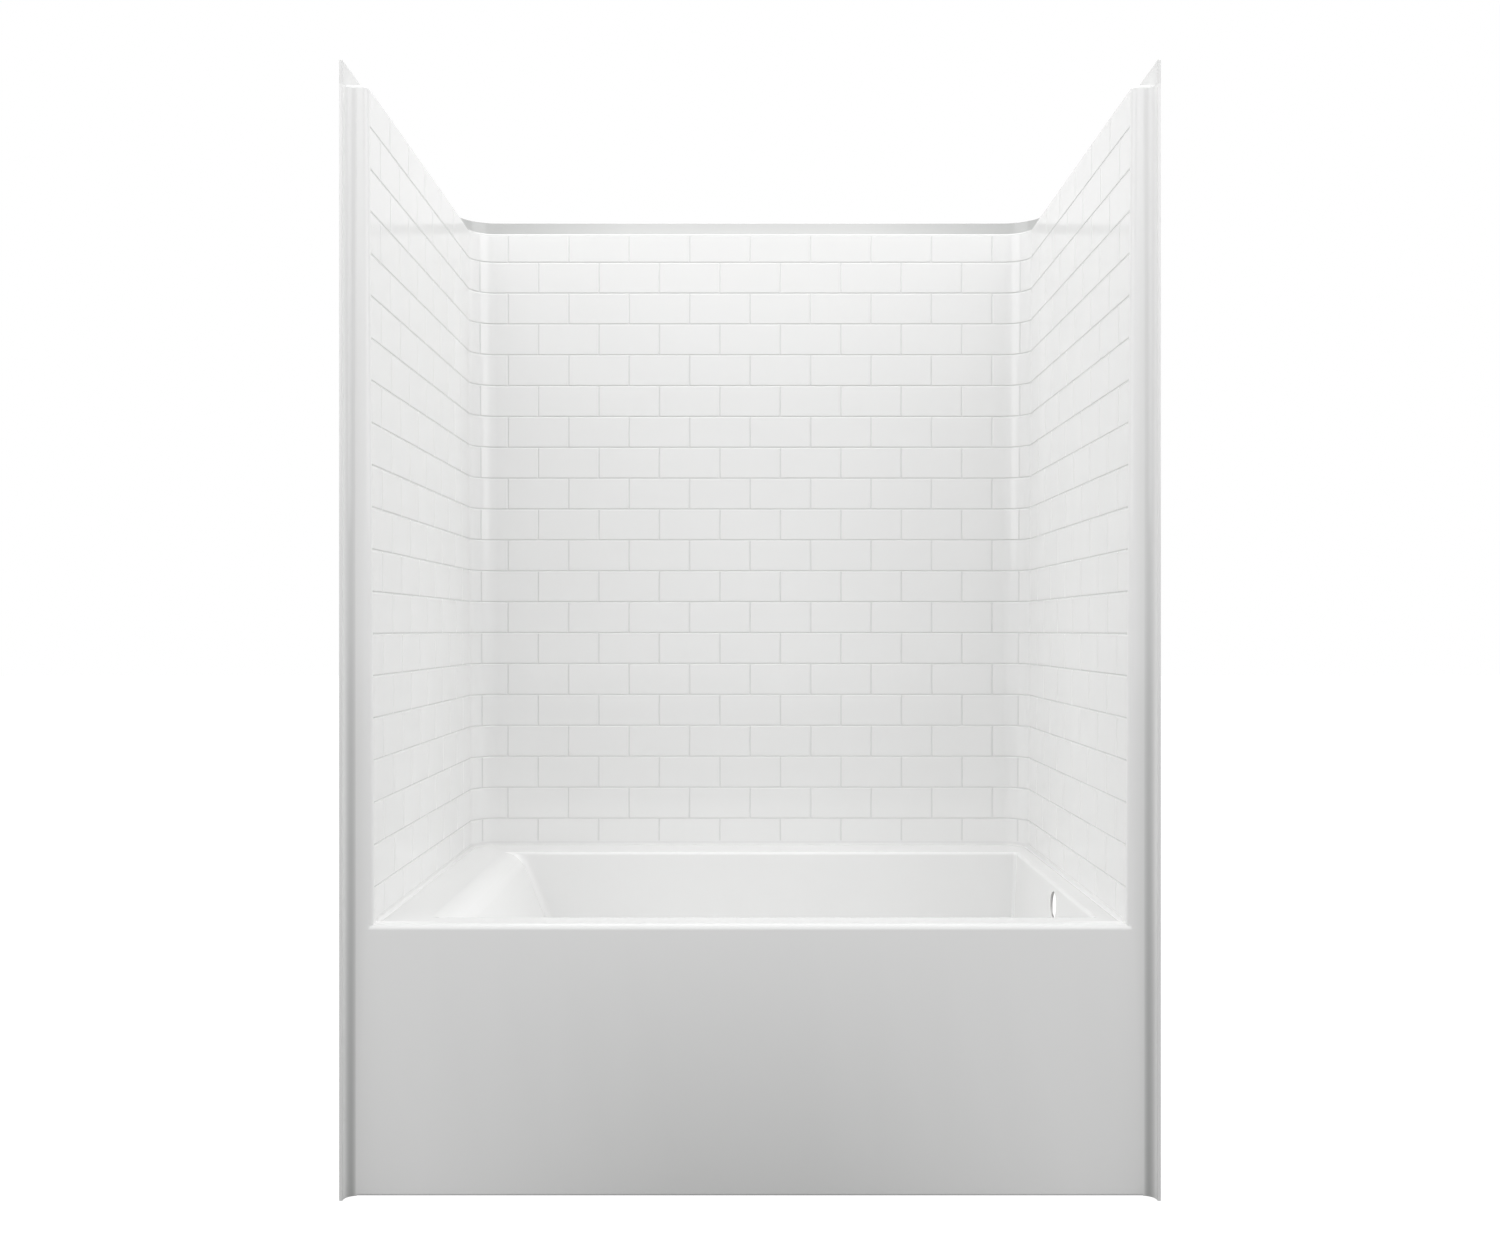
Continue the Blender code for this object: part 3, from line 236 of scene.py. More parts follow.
def make_grain_group():
    """Wood figure along the X of the place given: growth rings, pores and a height for bump."""
    group, given, result = new_group(
        "wood_figure",
        [
            ("Place", "NodeSocketVector", None), ("Ring spacing", "NodeSocketFloat", 90.0),
            ("Sway", "NodeSocketFloat", 0.03),
            ("Pale", "NodeSocketColor", SOFTWOOD_PALE), ("Dark", "NodeSocketColor", SOFTWOOD_DARK),
        ],
        [("Colour", "NodeSocketColor"), ("Height", "NodeSocketFloat")],
    )
    drawn = group.nodes.new("ShaderNodeVectorMath")
    drawn.operation = "MULTIPLY"
    drawn.inputs[1].default_value = GRAIN_STRETCH
    sway = noise(group.nodes, scale=9.0, detail=3.0)
    swayed = group.nodes.new("ShaderNodeVectorMath")
    swayed.operation = "SCALE"
    bent = group.nodes.new("ShaderNodeVectorMath")
    bent.operation = "ADD"
    rings = group.nodes.new("ShaderNodeTexWave")
    rings.wave_type = "RINGS"
    rings.rings_direction = "X"
    rings.inputs["Distortion"].default_value = 1.4
    rings.inputs["Detail"].default_value = 2.0
    rings.inputs["Detail Scale"].default_value = 1.2
    pores = noise(group.nodes, scale=420.0, detail=3.0)
    late = ramp(group.nodes, low=0.35, high=0.95)
    mixed = arithmetic(group.nodes, "MULTIPLY_ADD", 0.35)
    tint = blend(group.nodes)
    join = group.links.new
    join(given.outputs["Place"], drawn.inputs[0])
    join(drawn.outputs["Vector"], sway.inputs["Vector"])
    join(sway.outputs["Color"], swayed.inputs[0])
    join(given.outputs["Sway"], swayed.inputs["Scale"])
    join(swayed.outputs["Vector"], bent.inputs[0])
    join(drawn.outputs["Vector"], bent.inputs[1])
    join(bent.outputs["Vector"], rings.inputs["Vector"])
    join(given.outputs["Ring spacing"], rings.inputs["Scale"])
    join(drawn.outputs["Vector"], pores.inputs["Vector"])
    join(rings.outputs["Fac"], late.inputs["Value"])
    join(pores.outputs["Fac"], mixed.inputs[0])
    join(late.outputs["Result"], mixed.inputs[2])
    join(mixed.outputs[0], tint.inputs["Factor"])
    join(given.outputs["Pale"], tint.inputs["A"])
    join(given.outputs["Dark"], tint.inputs["B"])
    join(tint.outputs["Result"], result.inputs["Colour"])
    join(mixed.outputs[0], result.inputs["Height"])
    return group


def start_material(name):
    """A material with its shader, ready for the nodes of its own finish."""
    material = bpy.data.materials.new(name)
    material.use_nodes = True
    return material, material.node_tree.nodes, material.node_tree.nodes["Principled BSDF"]


def add_group(material, group, **values):
    node = material.node_tree.nodes.new("ShaderNodeGroup")
    node.node_tree = group
    for label, value in values.items():
        node.inputs[label.replace("_", " ")].default_value = value
    return node


def add_bump(material, shader, height, strength, distance):
    bump = material.node_tree.nodes.new("ShaderNodeBump")
    bump.inputs["Strength"].default_value = strength
    bump.inputs["Distance"].default_value = distance
    link(material, height, bump.inputs["Height"])
    link(material, bump.outputs["Normal"], shader.inputs["Normal"])


def wear(material, shader, size, amount, clean, marked):
    """Marks of handling, whose mask it returns. The roughness rises from clean to marked under them."""
    mask = add_group(material, handling_marks, Size=size, Amount=amount).outputs["Mask"]
    spread = material.node_tree.nodes.new("ShaderNodeMapRange")
    spread.inputs["To Min"].default_value = clean
    spread.inputs["To Max"].default_value = marked
    link(material, mask, spread.inputs["Value"])
    link(material, spread.outputs["Result"], shader.inputs["Roughness"])
    return mask


handling_marks = make_wear_group()
wood_figure = make_grain_group()


def softwood(name, turn):
    """Softwood whose grain runs along X, or along Z when it is turned upright."""
    material, nodes, shader = start_material(name)
    place = nodes.new("ShaderNodeTexCoord").outputs["Object"]
    turned = nodes.new("ShaderNodeMapping")
    turned.inputs["Rotation"].default_value = turn
    turned.inputs["Location"].default_value = HEART_PLACE
    grain = add_group(material, wood_figure, Ring_spacing=38.0)
    link(material, place, turned.inputs["Vector"])
    link(material, turned.outputs["Vector"], grain.inputs["Place"])
    link(material, grain.outputs["Colour"], shader.inputs["Base Color"])
    wear(material, shader, size=7.0, amount=0.8, clean=0.52, marked=0.78)
    add_bump(material, shader, grain.outputs["Height"], strength=0.35, distance=0.0006)
    return material


def dress(node, material, edge):
    """Gives a CAD piece its finish and its eased edges."""
    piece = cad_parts[node]
    piece.material_slots[0].material = material
    eased = piece.modifiers.new("eased_edges", "BEVEL")
    eased.width = edge
    eased.segments = 3
    eased.limit_method = "ANGLE"
    eased.angle_limit = radians(50)
    eased.harden_normals = True


lengthwise_timber = softwood("softwood_lengthwise", (0.0, 0.0, 0.0))
upright_timber = softwood("softwood_upright", (0.0, pi / 2, 0.0))
for node in ("front_bearer", "middle_bearer", "rear_bearer", "apron_rail", "back_rim_rail"):
    dress(node, lengthwise_timber, SOFTWOOD_EDGE)
for node in ("left_apron_stiffener", "right_apron_stiffener", "left_front_post", "left_rear_post",
             "right_front_post", "right_rear_post"):
    dress(node, upright_timber, SOFTWOOD_EDGE)

# Base board and wall boards: plywood sheet, sawn to size, with its plies showing on the sawn edges.
# They are bonded to the backs of the shells while the laminate is wet, to stiffen them.
PLYWOOD_EDGE = 0.0008
PLY_THICKNESS = 0.0026
PLY_PALE = (0.70, 0.55, 0.37, 1.0)
PLY_DARK = (0.56, 0.40, 0.24, 1.0)


def plywood(name, turn, across):
    """Plywood whose sheet lies square to the axis across, 0, 1 or 2."""
    material, nodes, shader = start_material(name)
    place = nodes.new("ShaderNodeTexCoord").outputs["Object"]
    turned = nodes.new("ShaderNodeMapping")
    turned.inputs["Rotation"].default_value = turn
    grain = add_group(material, wood_figure, Ring_spacing=21.0, Sway=0.11, Pale=PLY_PALE, Dark=PLY_DARK)
    parts = nodes.new("ShaderNodeSeparateXYZ")
    plies = arithmetic(nodes, "PINGPONG", PLY_THICKNESS)
    banded = ramp(nodes, low=PLY_THICKNESS * 0.42, high=PLY_THICKNESS * 0.58)
    edge_tint = blend(nodes, PLY_PALE, PLY_DARK)
    facing = nodes.new("ShaderNodeNewGeometry")
    facing_parts = nodes.new("ShaderNodeSeparateXYZ")
    size = arithmetic(nodes, "ABSOLUTE")
    on_sheet = arithmetic(nodes, "GREATER_THAN", 0.7)
    tint = blend(nodes)
    link(material, place, turned.inputs["Vector"])
    link(material, turned.outputs["Vector"], grain.inputs["Place"])
    link(material, place, parts.inputs["Vector"])
    link(material, parts.outputs[across], plies.inputs[0])
    link(material, plies.outputs[0], banded.inputs["Value"])
    link(material, banded.outputs["Result"], edge_tint.inputs["Factor"])
    link(material, facing.outputs["True Normal"], facing_parts.inputs["Vector"])
    link(material, facing_parts.outputs[across], size.inputs[0])
    link(material, size.outputs[0], on_sheet.inputs[0])
    link(material, on_sheet.outputs[0], tint.inputs["Factor"])
    link(material, edge_tint.outputs["Result"], tint.inputs["A"])
    link(material, grain.outputs["Colour"], tint.inputs["B"])
    link(material, tint.outputs["Result"], shader.inputs["Base Color"])
    wear(material, shader, size=4.0, amount=0.9, clean=0.55, marked=0.8)
    add_bump(material, shader, grain.outputs["Height"], strength=0.25, distance=0.0004)
    return material


flat_board = plywood("plywood_flat", (0.0, 0.0, 0.0), 2)
side_board = plywood("plywood_side", (0.0, pi / 2, 0.0), 0)
back_board = plywood("plywood_back", (0.0, pi / 2, 0.0), 1)
dress("base_board", flat_board, PLYWOOD_EDGE)
for node in ("left_wall_board", "right_wall_board"):
    dress(node, side_board, PLYWOOD_EDGE)
for node in ("back_wall_board_lower", "back_wall_board_upper"):
    dress(node, back_board, PLYWOOD_EDGE)

# Tub: one moulding of glossy white gelcoat on about 6 mm of glass-fibre laminate, with a sloped
# backrest on the left, rim and shelf all round, and holes cut for the waste and the overflow.
UNIT_WIDTH = 1.524
HALF_WIDTH = UNIT_WIDTH / 2
CORNER_RADIUS = 0.060
WALL_TOP = 2.079
RIM_HEIGHT = 0.508
SHEET = 0.006
FACE_HALF_WIDTH = 0.7049
BACK_FACE = 1.0402
LEAN = 0.0060
LEDGE_EDGE = 0.007
FACE_TOP = WALL_TOP - LEDGE_EDGE
FLANGE_OUT = HALF_WIDTH - FACE_HALF_WIDTH - LEAN * (FACE_TOP - RIM_HEIGHT)
FLANGE_IN = FLANGE_OUT - SHEET
HALF_DEPTH = (BACK_FACE + LEAN * (FACE_TOP - RIM_HEIGHT) + FLANGE_OUT) / 2
JOINT_FLANGE = 0.005
JOINT_DEPTH = 0.034
JOINT_CHAMFER = 0.003
FRAME_BACK = 0.054
HAIRLINE = 0.00002
SHELF_FRONT_CORNER = 0.002
DECK_EDGE = -0.612
BACKREST_ROLL = 0.060
BACKREST_SLOPE = radians(23)
DRAIN_END = 0.667
BASIN_FRONT = 0.0885
BASIN_BACK = 0.9155
BASIN_DRAFT = radians(3)
BASIN_ROLL = 0.008
BASIN_CORNER = 0.009
FLOOR_HEIGHT = 0.105
FLOOR_BLEND = 0.045
WASTE_HOLE = (0.5119, (BASIN_FRONT + BASIN_BACK) / 2, 0.025)
WASTE_SEAT = 0.016
WASTE_EDGE = 0.002
OVERFLOW_HOLE = (0.460, 0.4615, 0.030)
OVERFLOW_EDGE = 0.0012
OVERFLOW_SIDES = 64
DRILL_REACH = (0.010, 0.020)
ROLL_STEPS = 12
CORNER_STEPS = 8
GELCOAT = (0.90, 0.90, 0.895, 1.0)
GELCOAT_SHADE = (0.888, 0.89, 0.887, 1.0)
# Painted shade: the grey that the gelcoat's colour is darkened towards, by a value kept on the mesh's
# points.
GELCOAT_PAINTED_SHADE = (0.46, 0.465, 0.46, 1.0)
PAINTED_SHADE_LAYER = "painted_shade"
# Painted shade on the front of the rim and on the apron's nose, which dims them where they face the light.
RIM_PAINTED_SHADE = 0.38
LAMINATE_PALE = (0.72, 0.72, 0.66, 1.0)
LAMINATE_DARK = (0.55, 0.56, 0.49, 1.0)
STRAND = (0.040, 0.0022)
STRAND_DIRECTIONS = [(1, 0, 0), (0, 1, 0), (0, 0, 1), (1, 1, 1), (1, -1, -1), (-1, 1, -1), (-1, -1, 1)]


def share_between(value, start, end):
    """How far value has come from start to end, from 0 to 1."""
    return min(max((value - start) / (end - start), 0.0), 1.0)


def from_lip(depth):
    """World Y of a distance measured back from the front edge of the lip."""
    return depth - HALF_DEPTH


def gelcoat():
    """Polished gelcoat: even white, with the faint waviness of a moulded surface.

    Its colour is darkened towards grey where the mesh carries painted shade: in grout lines, tight angles,
    lit edges and the apron's foot.
    """
    material, nodes, shader = start_material("gelcoat")
    place = nodes.new("ShaderNodeTexCoord").outputs["Object"]
    cloud = noise(nodes, scale=3.0)
    tint = blend(nodes, GELCOAT, GELCOAT_SHADE)
    shade_layer = nodes.new("ShaderNodeAttribute")
    shade_layer.attribute_name = PAINTED_SHADE_LAYER
    shade_paint = blend(nodes, second=GELCOAT_PAINTED_SHADE)
    wave = noise(nodes, scale=55.0, detail=1.0)
    link(material, place, cloud.inputs["Vector"])
    link(material, place, wave.inputs["Vector"])
    link(material, cloud.outputs["Fac"], tint.inputs["Factor"])
    link(material, shade_layer.outputs["Fac"], shade_paint.inputs["Factor"])
    link(material, tint.outputs["Result"], shade_paint.inputs["A"])
    link(material, shade_paint.outputs["Result"], shader.inputs["Base Color"])
    wear(material, shader, size=5.0, amount=0.5, clean=0.10, marked=0.16)
    add_bump(material, shader, wave.outputs["Fac"], strength=0.12, distance=0.0004)
    return material


def laminate():
    """The back of a shell: rolled chopped-strand glass mat in cloudy resin."""
    material, nodes, shader = start_material("glass_fibre_laminate")
    place = nodes.new("ShaderNodeTexCoord").outputs["Object"]
    strands = None
    for lying in STRAND_DIRECTIONS:
        turned = nodes.new("ShaderNodeMapping")
        turned.vector_type = "TEXTURE"
        turned.inputs["Rotation"].default_value = Vector(lying).to_track_quat("X", "Z").to_euler()
        turned.inputs["Scale"].default_value = (STRAND[0], STRAND[1], STRAND[1])
        strand = noise(nodes, scale=1.0, detail=1.0)
        link(material, place, turned.inputs["Vector"])
        link(material, turned.outputs["Vector"], strand.inputs["Vector"])
        if strands is None:
            strands = strand.outputs["Fac"]
            continue
        crossed = arithmetic(nodes, "MAXIMUM")
        link(material, strands, crossed.inputs[0])
        link(material, strand.outputs["Fac"], crossed.inputs[1])
        strands = crossed.outputs[0]
    sharp = ramp(nodes, low=0.56, high=0.76)
    tint = blend(nodes, LAMINATE_DARK, LAMINATE_PALE)
    link(material, strands, sharp.inputs["Value"])
    link(material, sharp.outputs["Result"], tint.inputs["Factor"])
    link(material, tint.outputs["Result"], shader.inputs["Base Color"])
    wear(material, shader, size=9.0, amount=1.0, clean=0.28, marked=0.6)
    add_bump(material, shader, sharp.outputs["Result"], strength=0.5, distance=0.0006)
    return material


gelcoat_finish = gelcoat()
laminate_finish = laminate()


def skin(mesh, near, far, shown=None):
    """Joins two rings of points with faces. Those numbered from shown on are bare laminate."""
    for i in range(len(near)):
        j = (i + 1) % len(near)
        face = mesh.faces.new((near[i], near[j], far[j], far[i]))
        if shown is not None:
            face.material_index = int(i >= shown)


def close_mesh(name, mesh):
    """Turns all faces outwards and hands the finished mesh over, smooth."""
    bmesh.ops.recalc_face_normals(mesh, faces=mesh.faces)
    data = bpy.data.meshes.new(name)
    mesh.to_mesh(data)
    mesh.free()
    data.shade_smooth()
    return data


def finish_shell(name, mesh, crease=50, finishes=(gelcoat_finish, laminate_finish)):
    """An object from the mesh, with creases kept where faces meet at more than crease degrees."""
    data = close_mesh(name, mesh)
    data.set_sharp_from_angle(angle=radians(crease))
    for finish in finishes:
        data.materials.append(finish)
    shell = bpy.data.objects.new(name, data)
    bpy.context.collection.objects.link(shell)
    return shell


def even_shading(shell):
    """Keeps the broad flats flat beside their rounded edges."""
    even = shell.modifiers.new("even_shading", "WEIGHTED_NORMAL")
    even.keep_sharp = True
    even.weight = 80


def rounded_ring(left, right, front, back, radii):
    """(x, y, z) points round a rectangle whose sides are (place, height) pairs, from front left."""
    (x0, z0), (x1, z1), (d0, z2), (d1, z3) = left, right, front, back
    corners = [
        (x0, d0, 1, 1, z0, z2, pi), (x1, d0, -1, 1, z2, z1, 1.5 * pi),
        (x1, d1, -1, -1, z1, z3, 0.0), (x0, d1, 1, -1, z3, z0, 0.5 * pi),
    ]
    ring = []
    for (x, depth, sx, sd, first, last, start), radius in zip(corners, radii):
        for i in range(CORNER_STEPS + 1):
            share = i / CORNER_STEPS
            turn = start + pi / 2 * share
            across = x + radius * (sx + cos(turn))
            back_by = depth + radius * (sd + sin(turn))
            ring.append(Vector((across, from_lip(back_by), first + (last - first) * share)))
    return ring


def basin_side(edge, roll, slope, inwards, thickness):
    """(place, height) points down one side of the basin, from the rim to the floor."""
    turn_end = pi / 2 - slope
    side = []
    for i in range(ROLL_STEPS + 1):
        turn = turn_end * i / ROLL_STEPS
        radius = roll - thickness
        side.append((edge + inwards * radius * sin(turn), RIM_HEIGHT - roll + radius * cos(turn)))
    start = edge + inwards * roll * sin(turn_end)
    drop = RIM_HEIGHT - roll * (1 - cos(turn_end)) - FLOOR_HEIGHT
    centre = start + inwards * (drop * tan(slope) + FLOOR_BLEND * tan(turn_end / 2))
    radius = FLOOR_BLEND + thickness
    for i in range(ROLL_STEPS + 1):
        turn = turn_end * (1 - i / ROLL_STEPS)
        side.append((centre - inwards * radius * sin(turn), FLOOR_HEIGHT + FLOOR_BLEND - radius * cos(turn)))
    return side


def basin_rings(thickness):
    left = basin_side(DECK_EDGE, BACKREST_ROLL, BACKREST_SLOPE, 1, thickness)
    right = basin_side(DRAIN_END, BASIN_ROLL, BASIN_DRAFT, -1, thickness)
    front = basin_side(BASIN_FRONT, BASIN_ROLL, BASIN_DRAFT, 1, thickness)
    back = basin_side(BASIN_BACK, BASIN_ROLL, BASIN_DRAFT, -1, thickness)
    corner = BASIN_CORNER + thickness
    return [rounded_ring(*sides, [corner] * 4) for sides in zip(left, right, front, back)]


def shelf_ring(inset, z):
    x = FACE_HALF_WIDTH + JOINT_DEPTH - inset
    front, back = FRAME_BACK + HAIRLINE + inset, BACK_FACE + JOINT_DEPTH - inset
    rear = CORNER_RADIUS + JOINT_DEPTH - inset
    radii = [SHELF_FRONT_CORNER, SHELF_FRONT_CORNER, rear, rear]
    return rounded_ring((-x, z), (x, z), (front, z), (back, z), radii)


def waste_ring(floor_ring, radius, z):
    """A circle round the waste hole, its points in step with those of the floor's outline."""
    x, depth, _ = WASTE_HOLE
    count = len(floor_ring)
    first = Vector((floor_ring[0].x - x, floor_ring[0].y - from_lip(depth), 0.0))
    start = Vector((1.0, 0.0, 0.0)).rotation_difference(first).to_euler().z
    turns = [start + 2 * pi * i / count for i in range(count)]
    return [Vector((x + radius * cos(turn), from_lip(depth) + radius * sin(turn), z)) for turn in turns]


def make_tub():
    inside, outside = basin_rings(0.0), basin_rings(SHEET)
    waste_edge = [
        (WASTE_SEAT, 0.0), (WASTE_EDGE, 0.0), (WASTE_EDGE * 0.3, WASTE_EDGE * 0.3), (0.0, WASTE_EDGE),
        (0.0, SHEET - WASTE_EDGE / 2), (WASTE_EDGE / 2, SHEET),
    ]
    waste = [waste_ring(inside[-1], WASTE_HOLE[2] + out, FLOOR_HEIGHT - down) for out, down in waste_edge]
    skirt_foot = RIM_HEIGHT - JOINT_DEPTH
    rings = [
        shelf_ring(0.0, RIM_HEIGHT), *inside, *waste, *outside[::-1],
        shelf_ring(JOINT_FLANGE + JOINT_CHAMFER, RIM_HEIGHT - SHEET),
        shelf_ring(JOINT_FLANGE, RIM_HEIGHT - SHEET - JOINT_CHAMFER),
        shelf_ring(JOINT_FLANGE, skirt_foot), shelf_ring(0.0, skirt_foot),
    ]
    first_bare = len([rings[0], *inside, *waste[:4]])
    mesh = bmesh.new()
    shade_layer = mesh.verts.layers.float.new(PAINTED_SHADE_LAYER)
    rows = [[mesh.verts.new(point) for point in ring] for ring in rings]
    # Painted shade on the rim's front: darkest on the front of the shelf, fading down the roll and towards
    # the back.
    for number, row in enumerate(rows[:ROLL_STEPS]):
        for vertex in row:
            front = 1.0 - share_between(vertex.co.y + HALF_DEPTH, BASIN_FRONT + BASIN_CORNER, BASIN_BACK)
            vertex[shade_layer] = RIM_PAINTED_SHADE * front * (1.0 - number / ROLL_STEPS)
    for number, (near, far) in enumerate(zip(rows, [*rows[1:], rows[0]])):
        skin(mesh, near, far, len(near) if number < first_bare else 0)
    return finish_shell("tub_shell", mesh, crease=40)


def cut_overflow(shell):
    """The overflow hole, drilled square through the drain end, its edge rubbed down."""
    depth, z, radius = OVERFLOW_HOLE
    face = DRAIN_END - BASIN_ROLL * cos(BASIN_DRAFT) - (RIM_HEIGHT - BASIN_ROLL - z) * tan(BASIN_DRAFT)
    rear, eased = face + SHEET, OVERFLOW_EDGE
    stations = [
        (face - DRILL_REACH[0], radius + eased), (face - eased * 2, radius + eased), (face + eased, radius),
        (rear - eased, radius), (rear + eased * 2, radius + eased), (face + DRILL_REACH[1], radius + eased),
    ]
    mesh = bmesh.new()
    rows = []
    for x, reach in stations:
        turns = [2 * pi * i / OVERFLOW_SIDES for i in range(OVERFLOW_SIDES)]
        circle = [(x, from_lip(depth) + reach * cos(turn), z + reach * sin(turn)) for turn in turns]
        rows.append([mesh.verts.new(point) for point in circle])
    for near, far in zip(rows, rows[1:]):
        skin(mesh, near, far)
    mesh.faces.new(rows[0])
    mesh.faces.new(rows[-1])
    drill = bpy.data.objects.new("overflow_drill", close_mesh("overflow_drill", mesh))
    bpy.context.collection.objects.link(drill)
    drilled = shell.modifiers.new("overflow_hole", "BOOLEAN")
    drilled.operation = "DIFFERENCE"
    drilled.solver = "EXACT"
    drilled.object = drill
    bpy.context.view_layer.update()
    finished = bpy.data.meshes.new_from_object(shell.evaluated_get(bpy.context.evaluated_depsgraph_get()))
    shell.modifiers.clear()
    shell.data = finished
    bpy.data.objects.remove(drill)


tub = make_tub()
cut_overflow(tub)
even_shading(tub)
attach(tub, "root")
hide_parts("tub")

# Back wall and end walls: gelcoated mouldings with subway tile in relief, 6 x 3 in with grout lines,
# a rounded ledge and a nailing flange along the top, and joint flanges turned back at foot and ends.
# The back wall carries both rounded corners. All three lean outwards by a few millimetres.
UNIT_HEIGHT = 2.117
TILE_WIDTH = 0.1556
TILE_HEIGHT = 0.0794
TILE_ROWS = 20
LOWEST_GROUT = 0.5749
GROUT_HALF_WIDTH = 0.0032
GROUT_DEPTH = 0.0014
TILE_FOOT = 0.5165
SIDE_GROUT = 0.8895
GROUT_SECTION = [(0.0, 1.0), (0.33, 0.92), (0.62, 0.30), (1.0, 0.0)]
# Painted shade in the grout lines, growing with their depth.
GROUT_PAINTED_SHADE = 0.25
LEDGE_FILLET = 0.004
FLANGE_TIP = 0.0015
# Painted shade on the ledge's rounded edge and on the nailing flanges: middle and corner values on the back
# flange, which darkens from a start along the wall, and one value on the end flanges.
LEDGE_PAINTED_SHADE = 0.50
FLANGE_PAINTED_SHADE = (0.5, 0.85)
FLANGE_PAINTED_SHADE_START = 0.30
END_FLANGE_PAINTED_SHADE = 0.30
WALL_FOOT = RIM_HEIGHT + 0.0003
FLAT_HALF = FACE_HALF_WIDTH - CORNER_RADIUS
ARC_LENGTH = CORNER_RADIUS * pi / 2
ARC_END = FLAT_HALF + ARC_LENGTH
SIDE_REAR = BACK_FACE - CORNER_RADIUS
SEAM_U = ARC_END + 0.016
SIDE_FRONT_U = ARC_END + SIDE_REAR - FRAME_BACK - HAIRLINE
LAST_BACK_GROUT = TILE_WIDTH * 4
LAST_SIDE_GROUT = ARC_END + SIDE_REAR - SIDE_GROUT
FLANGE_ROOT = [(0.0002, SHEET + 0.004), (0.0035, SHEET)]
ARC_STEPS = 14


def lean_at(z):
    return LEAN * (min(z, FACE_TOP) - RIM_HEIGHT)


def on_wall(u, h, z):
    """Carries a point drawn flat, u along the walls and h out from the tile faces, to its place."""
    side = 1.0 if u > 0 else -1.0
    run = abs(u)
    if run <= FLAT_HALF:
        x, depth = run, BACK_FACE + h
    elif run <= ARC_END:
        turn = (run - FLAT_HALF) / CORNER_RADIUS
        x = FLAT_HALF + (CORNER_RADIUS + h) * sin(turn)
        depth = SIDE_REAR + (CORNER_RADIUS + h) * cos(turn)
    else:
        x, depth = FACE_HALF_WIDTH + h, SIDE_REAR - (run - ARC_END)
    x += lean_at(z) * share_between(run, LAST_BACK_GROUT, FLAT_HALF)
    depth += lean_at(z) * (1.0 - share_between(run, ARC_END, LAST_SIDE_GROUT))
    return Vector((side * x, from_lip(depth), z))


def groove(distance):
    """Depth of a grout line at this distance from its middle, from 0 to 1."""
    share = abs(distance) / GROUT_HALF_WIDTH
    for (near, deep), (far, shallow) in zip(GROUT_SECTION, GROUT_SECTION[1:]):
        if share <= far:
            return deep + (shallow - deep) * (share - near) / (far - near)
    return 0.0


def across_groove(middle):
    offsets = [GROUT_HALF_WIDTH * share for share, _ in GROUT_SECTION]
    return sorted({middle + sign * offset for offset in offsets for sign in (-1, 1)})


def level_groove(z):
    """Depth of the level grout lines at height z, from 0 to 1."""
    nearest = min(max(round((z - LOWEST_GROUT) / TILE_HEIGHT), 0), TILE_ROWS - 2)
    return groove(z - LOWEST_GROUT - TILE_HEIGHT * nearest)


def relief(u, z, joints):
    """How far the surface lies behind the tile faces. joints holds both rows' upright lines."""
    centred = (TILE_ROWS - 2 - floor((z - LOWEST_GROUT) / TILE_HEIGHT)) % 2 == 0
    upright = max(groove(u - joint) for joint in joints[centred])
    upright *= share_between(z, TILE_FOOT, TILE_FOOT + GROUT_HALF_WIDTH)
    upright *= 1.0 - share_between(z, FACE_TOP - GROUT_HALF_WIDTH, FACE_TOP)
    return GROUT_DEPTH * max(level_groove(z), upright)


def wall_heights():
    heights = [WALL_FOOT, TILE_FOOT, TILE_FOOT + GROUT_HALF_WIDTH]
    for i in range(TILE_ROWS - 1):
        heights += across_groove(LOWEST_GROUT + TILE_HEIGHT * i)
    return [*heights, FACE_TOP - GROUT_HALF_WIDTH, FACE_TOP]


def arc(centre, radius, start, end, steps):
    """Points round centre, from one angle to the other."""
    turns = [start + (end - start) * i / steps for i in range(steps + 1)]
    return [(centre[0] + radius * cos(turn), centre[1] + radius * sin(turn)) for turn in turns]


def ledge_edge():
    """(h, z) points round the edge between tile faces and ledge."""
    return arc((LEDGE_EDGE, FACE_TOP), LEDGE_EDGE, pi, pi / 2, 8)


def ledge_section():
    """(h, z) points over the ledge's edge, along the ledge and over the nailing flange."""
    fillet, tip = LEDGE_FILLET, FLANGE_TIP
    angle = arc((FLANGE_IN - fillet, WALL_TOP + fillet), fillet, -pi / 2, 0.0, 4)
    inner_tip = arc((FLANGE_IN + tip, UNIT_HEIGHT - tip), tip, pi, pi / 2, 3)
    outer_tip = arc((FLANGE_OUT - tip, UNIT_HEIGHT - tip), tip, pi / 2, 0.0, 3)
    return [*ledge_edge()[1:], *angle, *inner_tip, *outer_tip]


def top_painted_shade(u, z):
    """Painted shade on the ledge's edge and on the flange, there darker towards the corners."""
    if z < WALL_TOP + LEDGE_FILLET / 4:
        return LEDGE_PAINTED_SHADE * share_between(z, FACE_TOP, FACE_TOP + LEDGE_EDGE * 0.4)
    if abs(u) > SEAM_U:
        return END_FLANGE_PAINTED_SHADE
    middle, corner = FLANGE_PAINTED_SHADE
    return middle + (corner - middle) * share_between(abs(u), FLANGE_PAINTED_SHADE_START, FLAT_HALF)


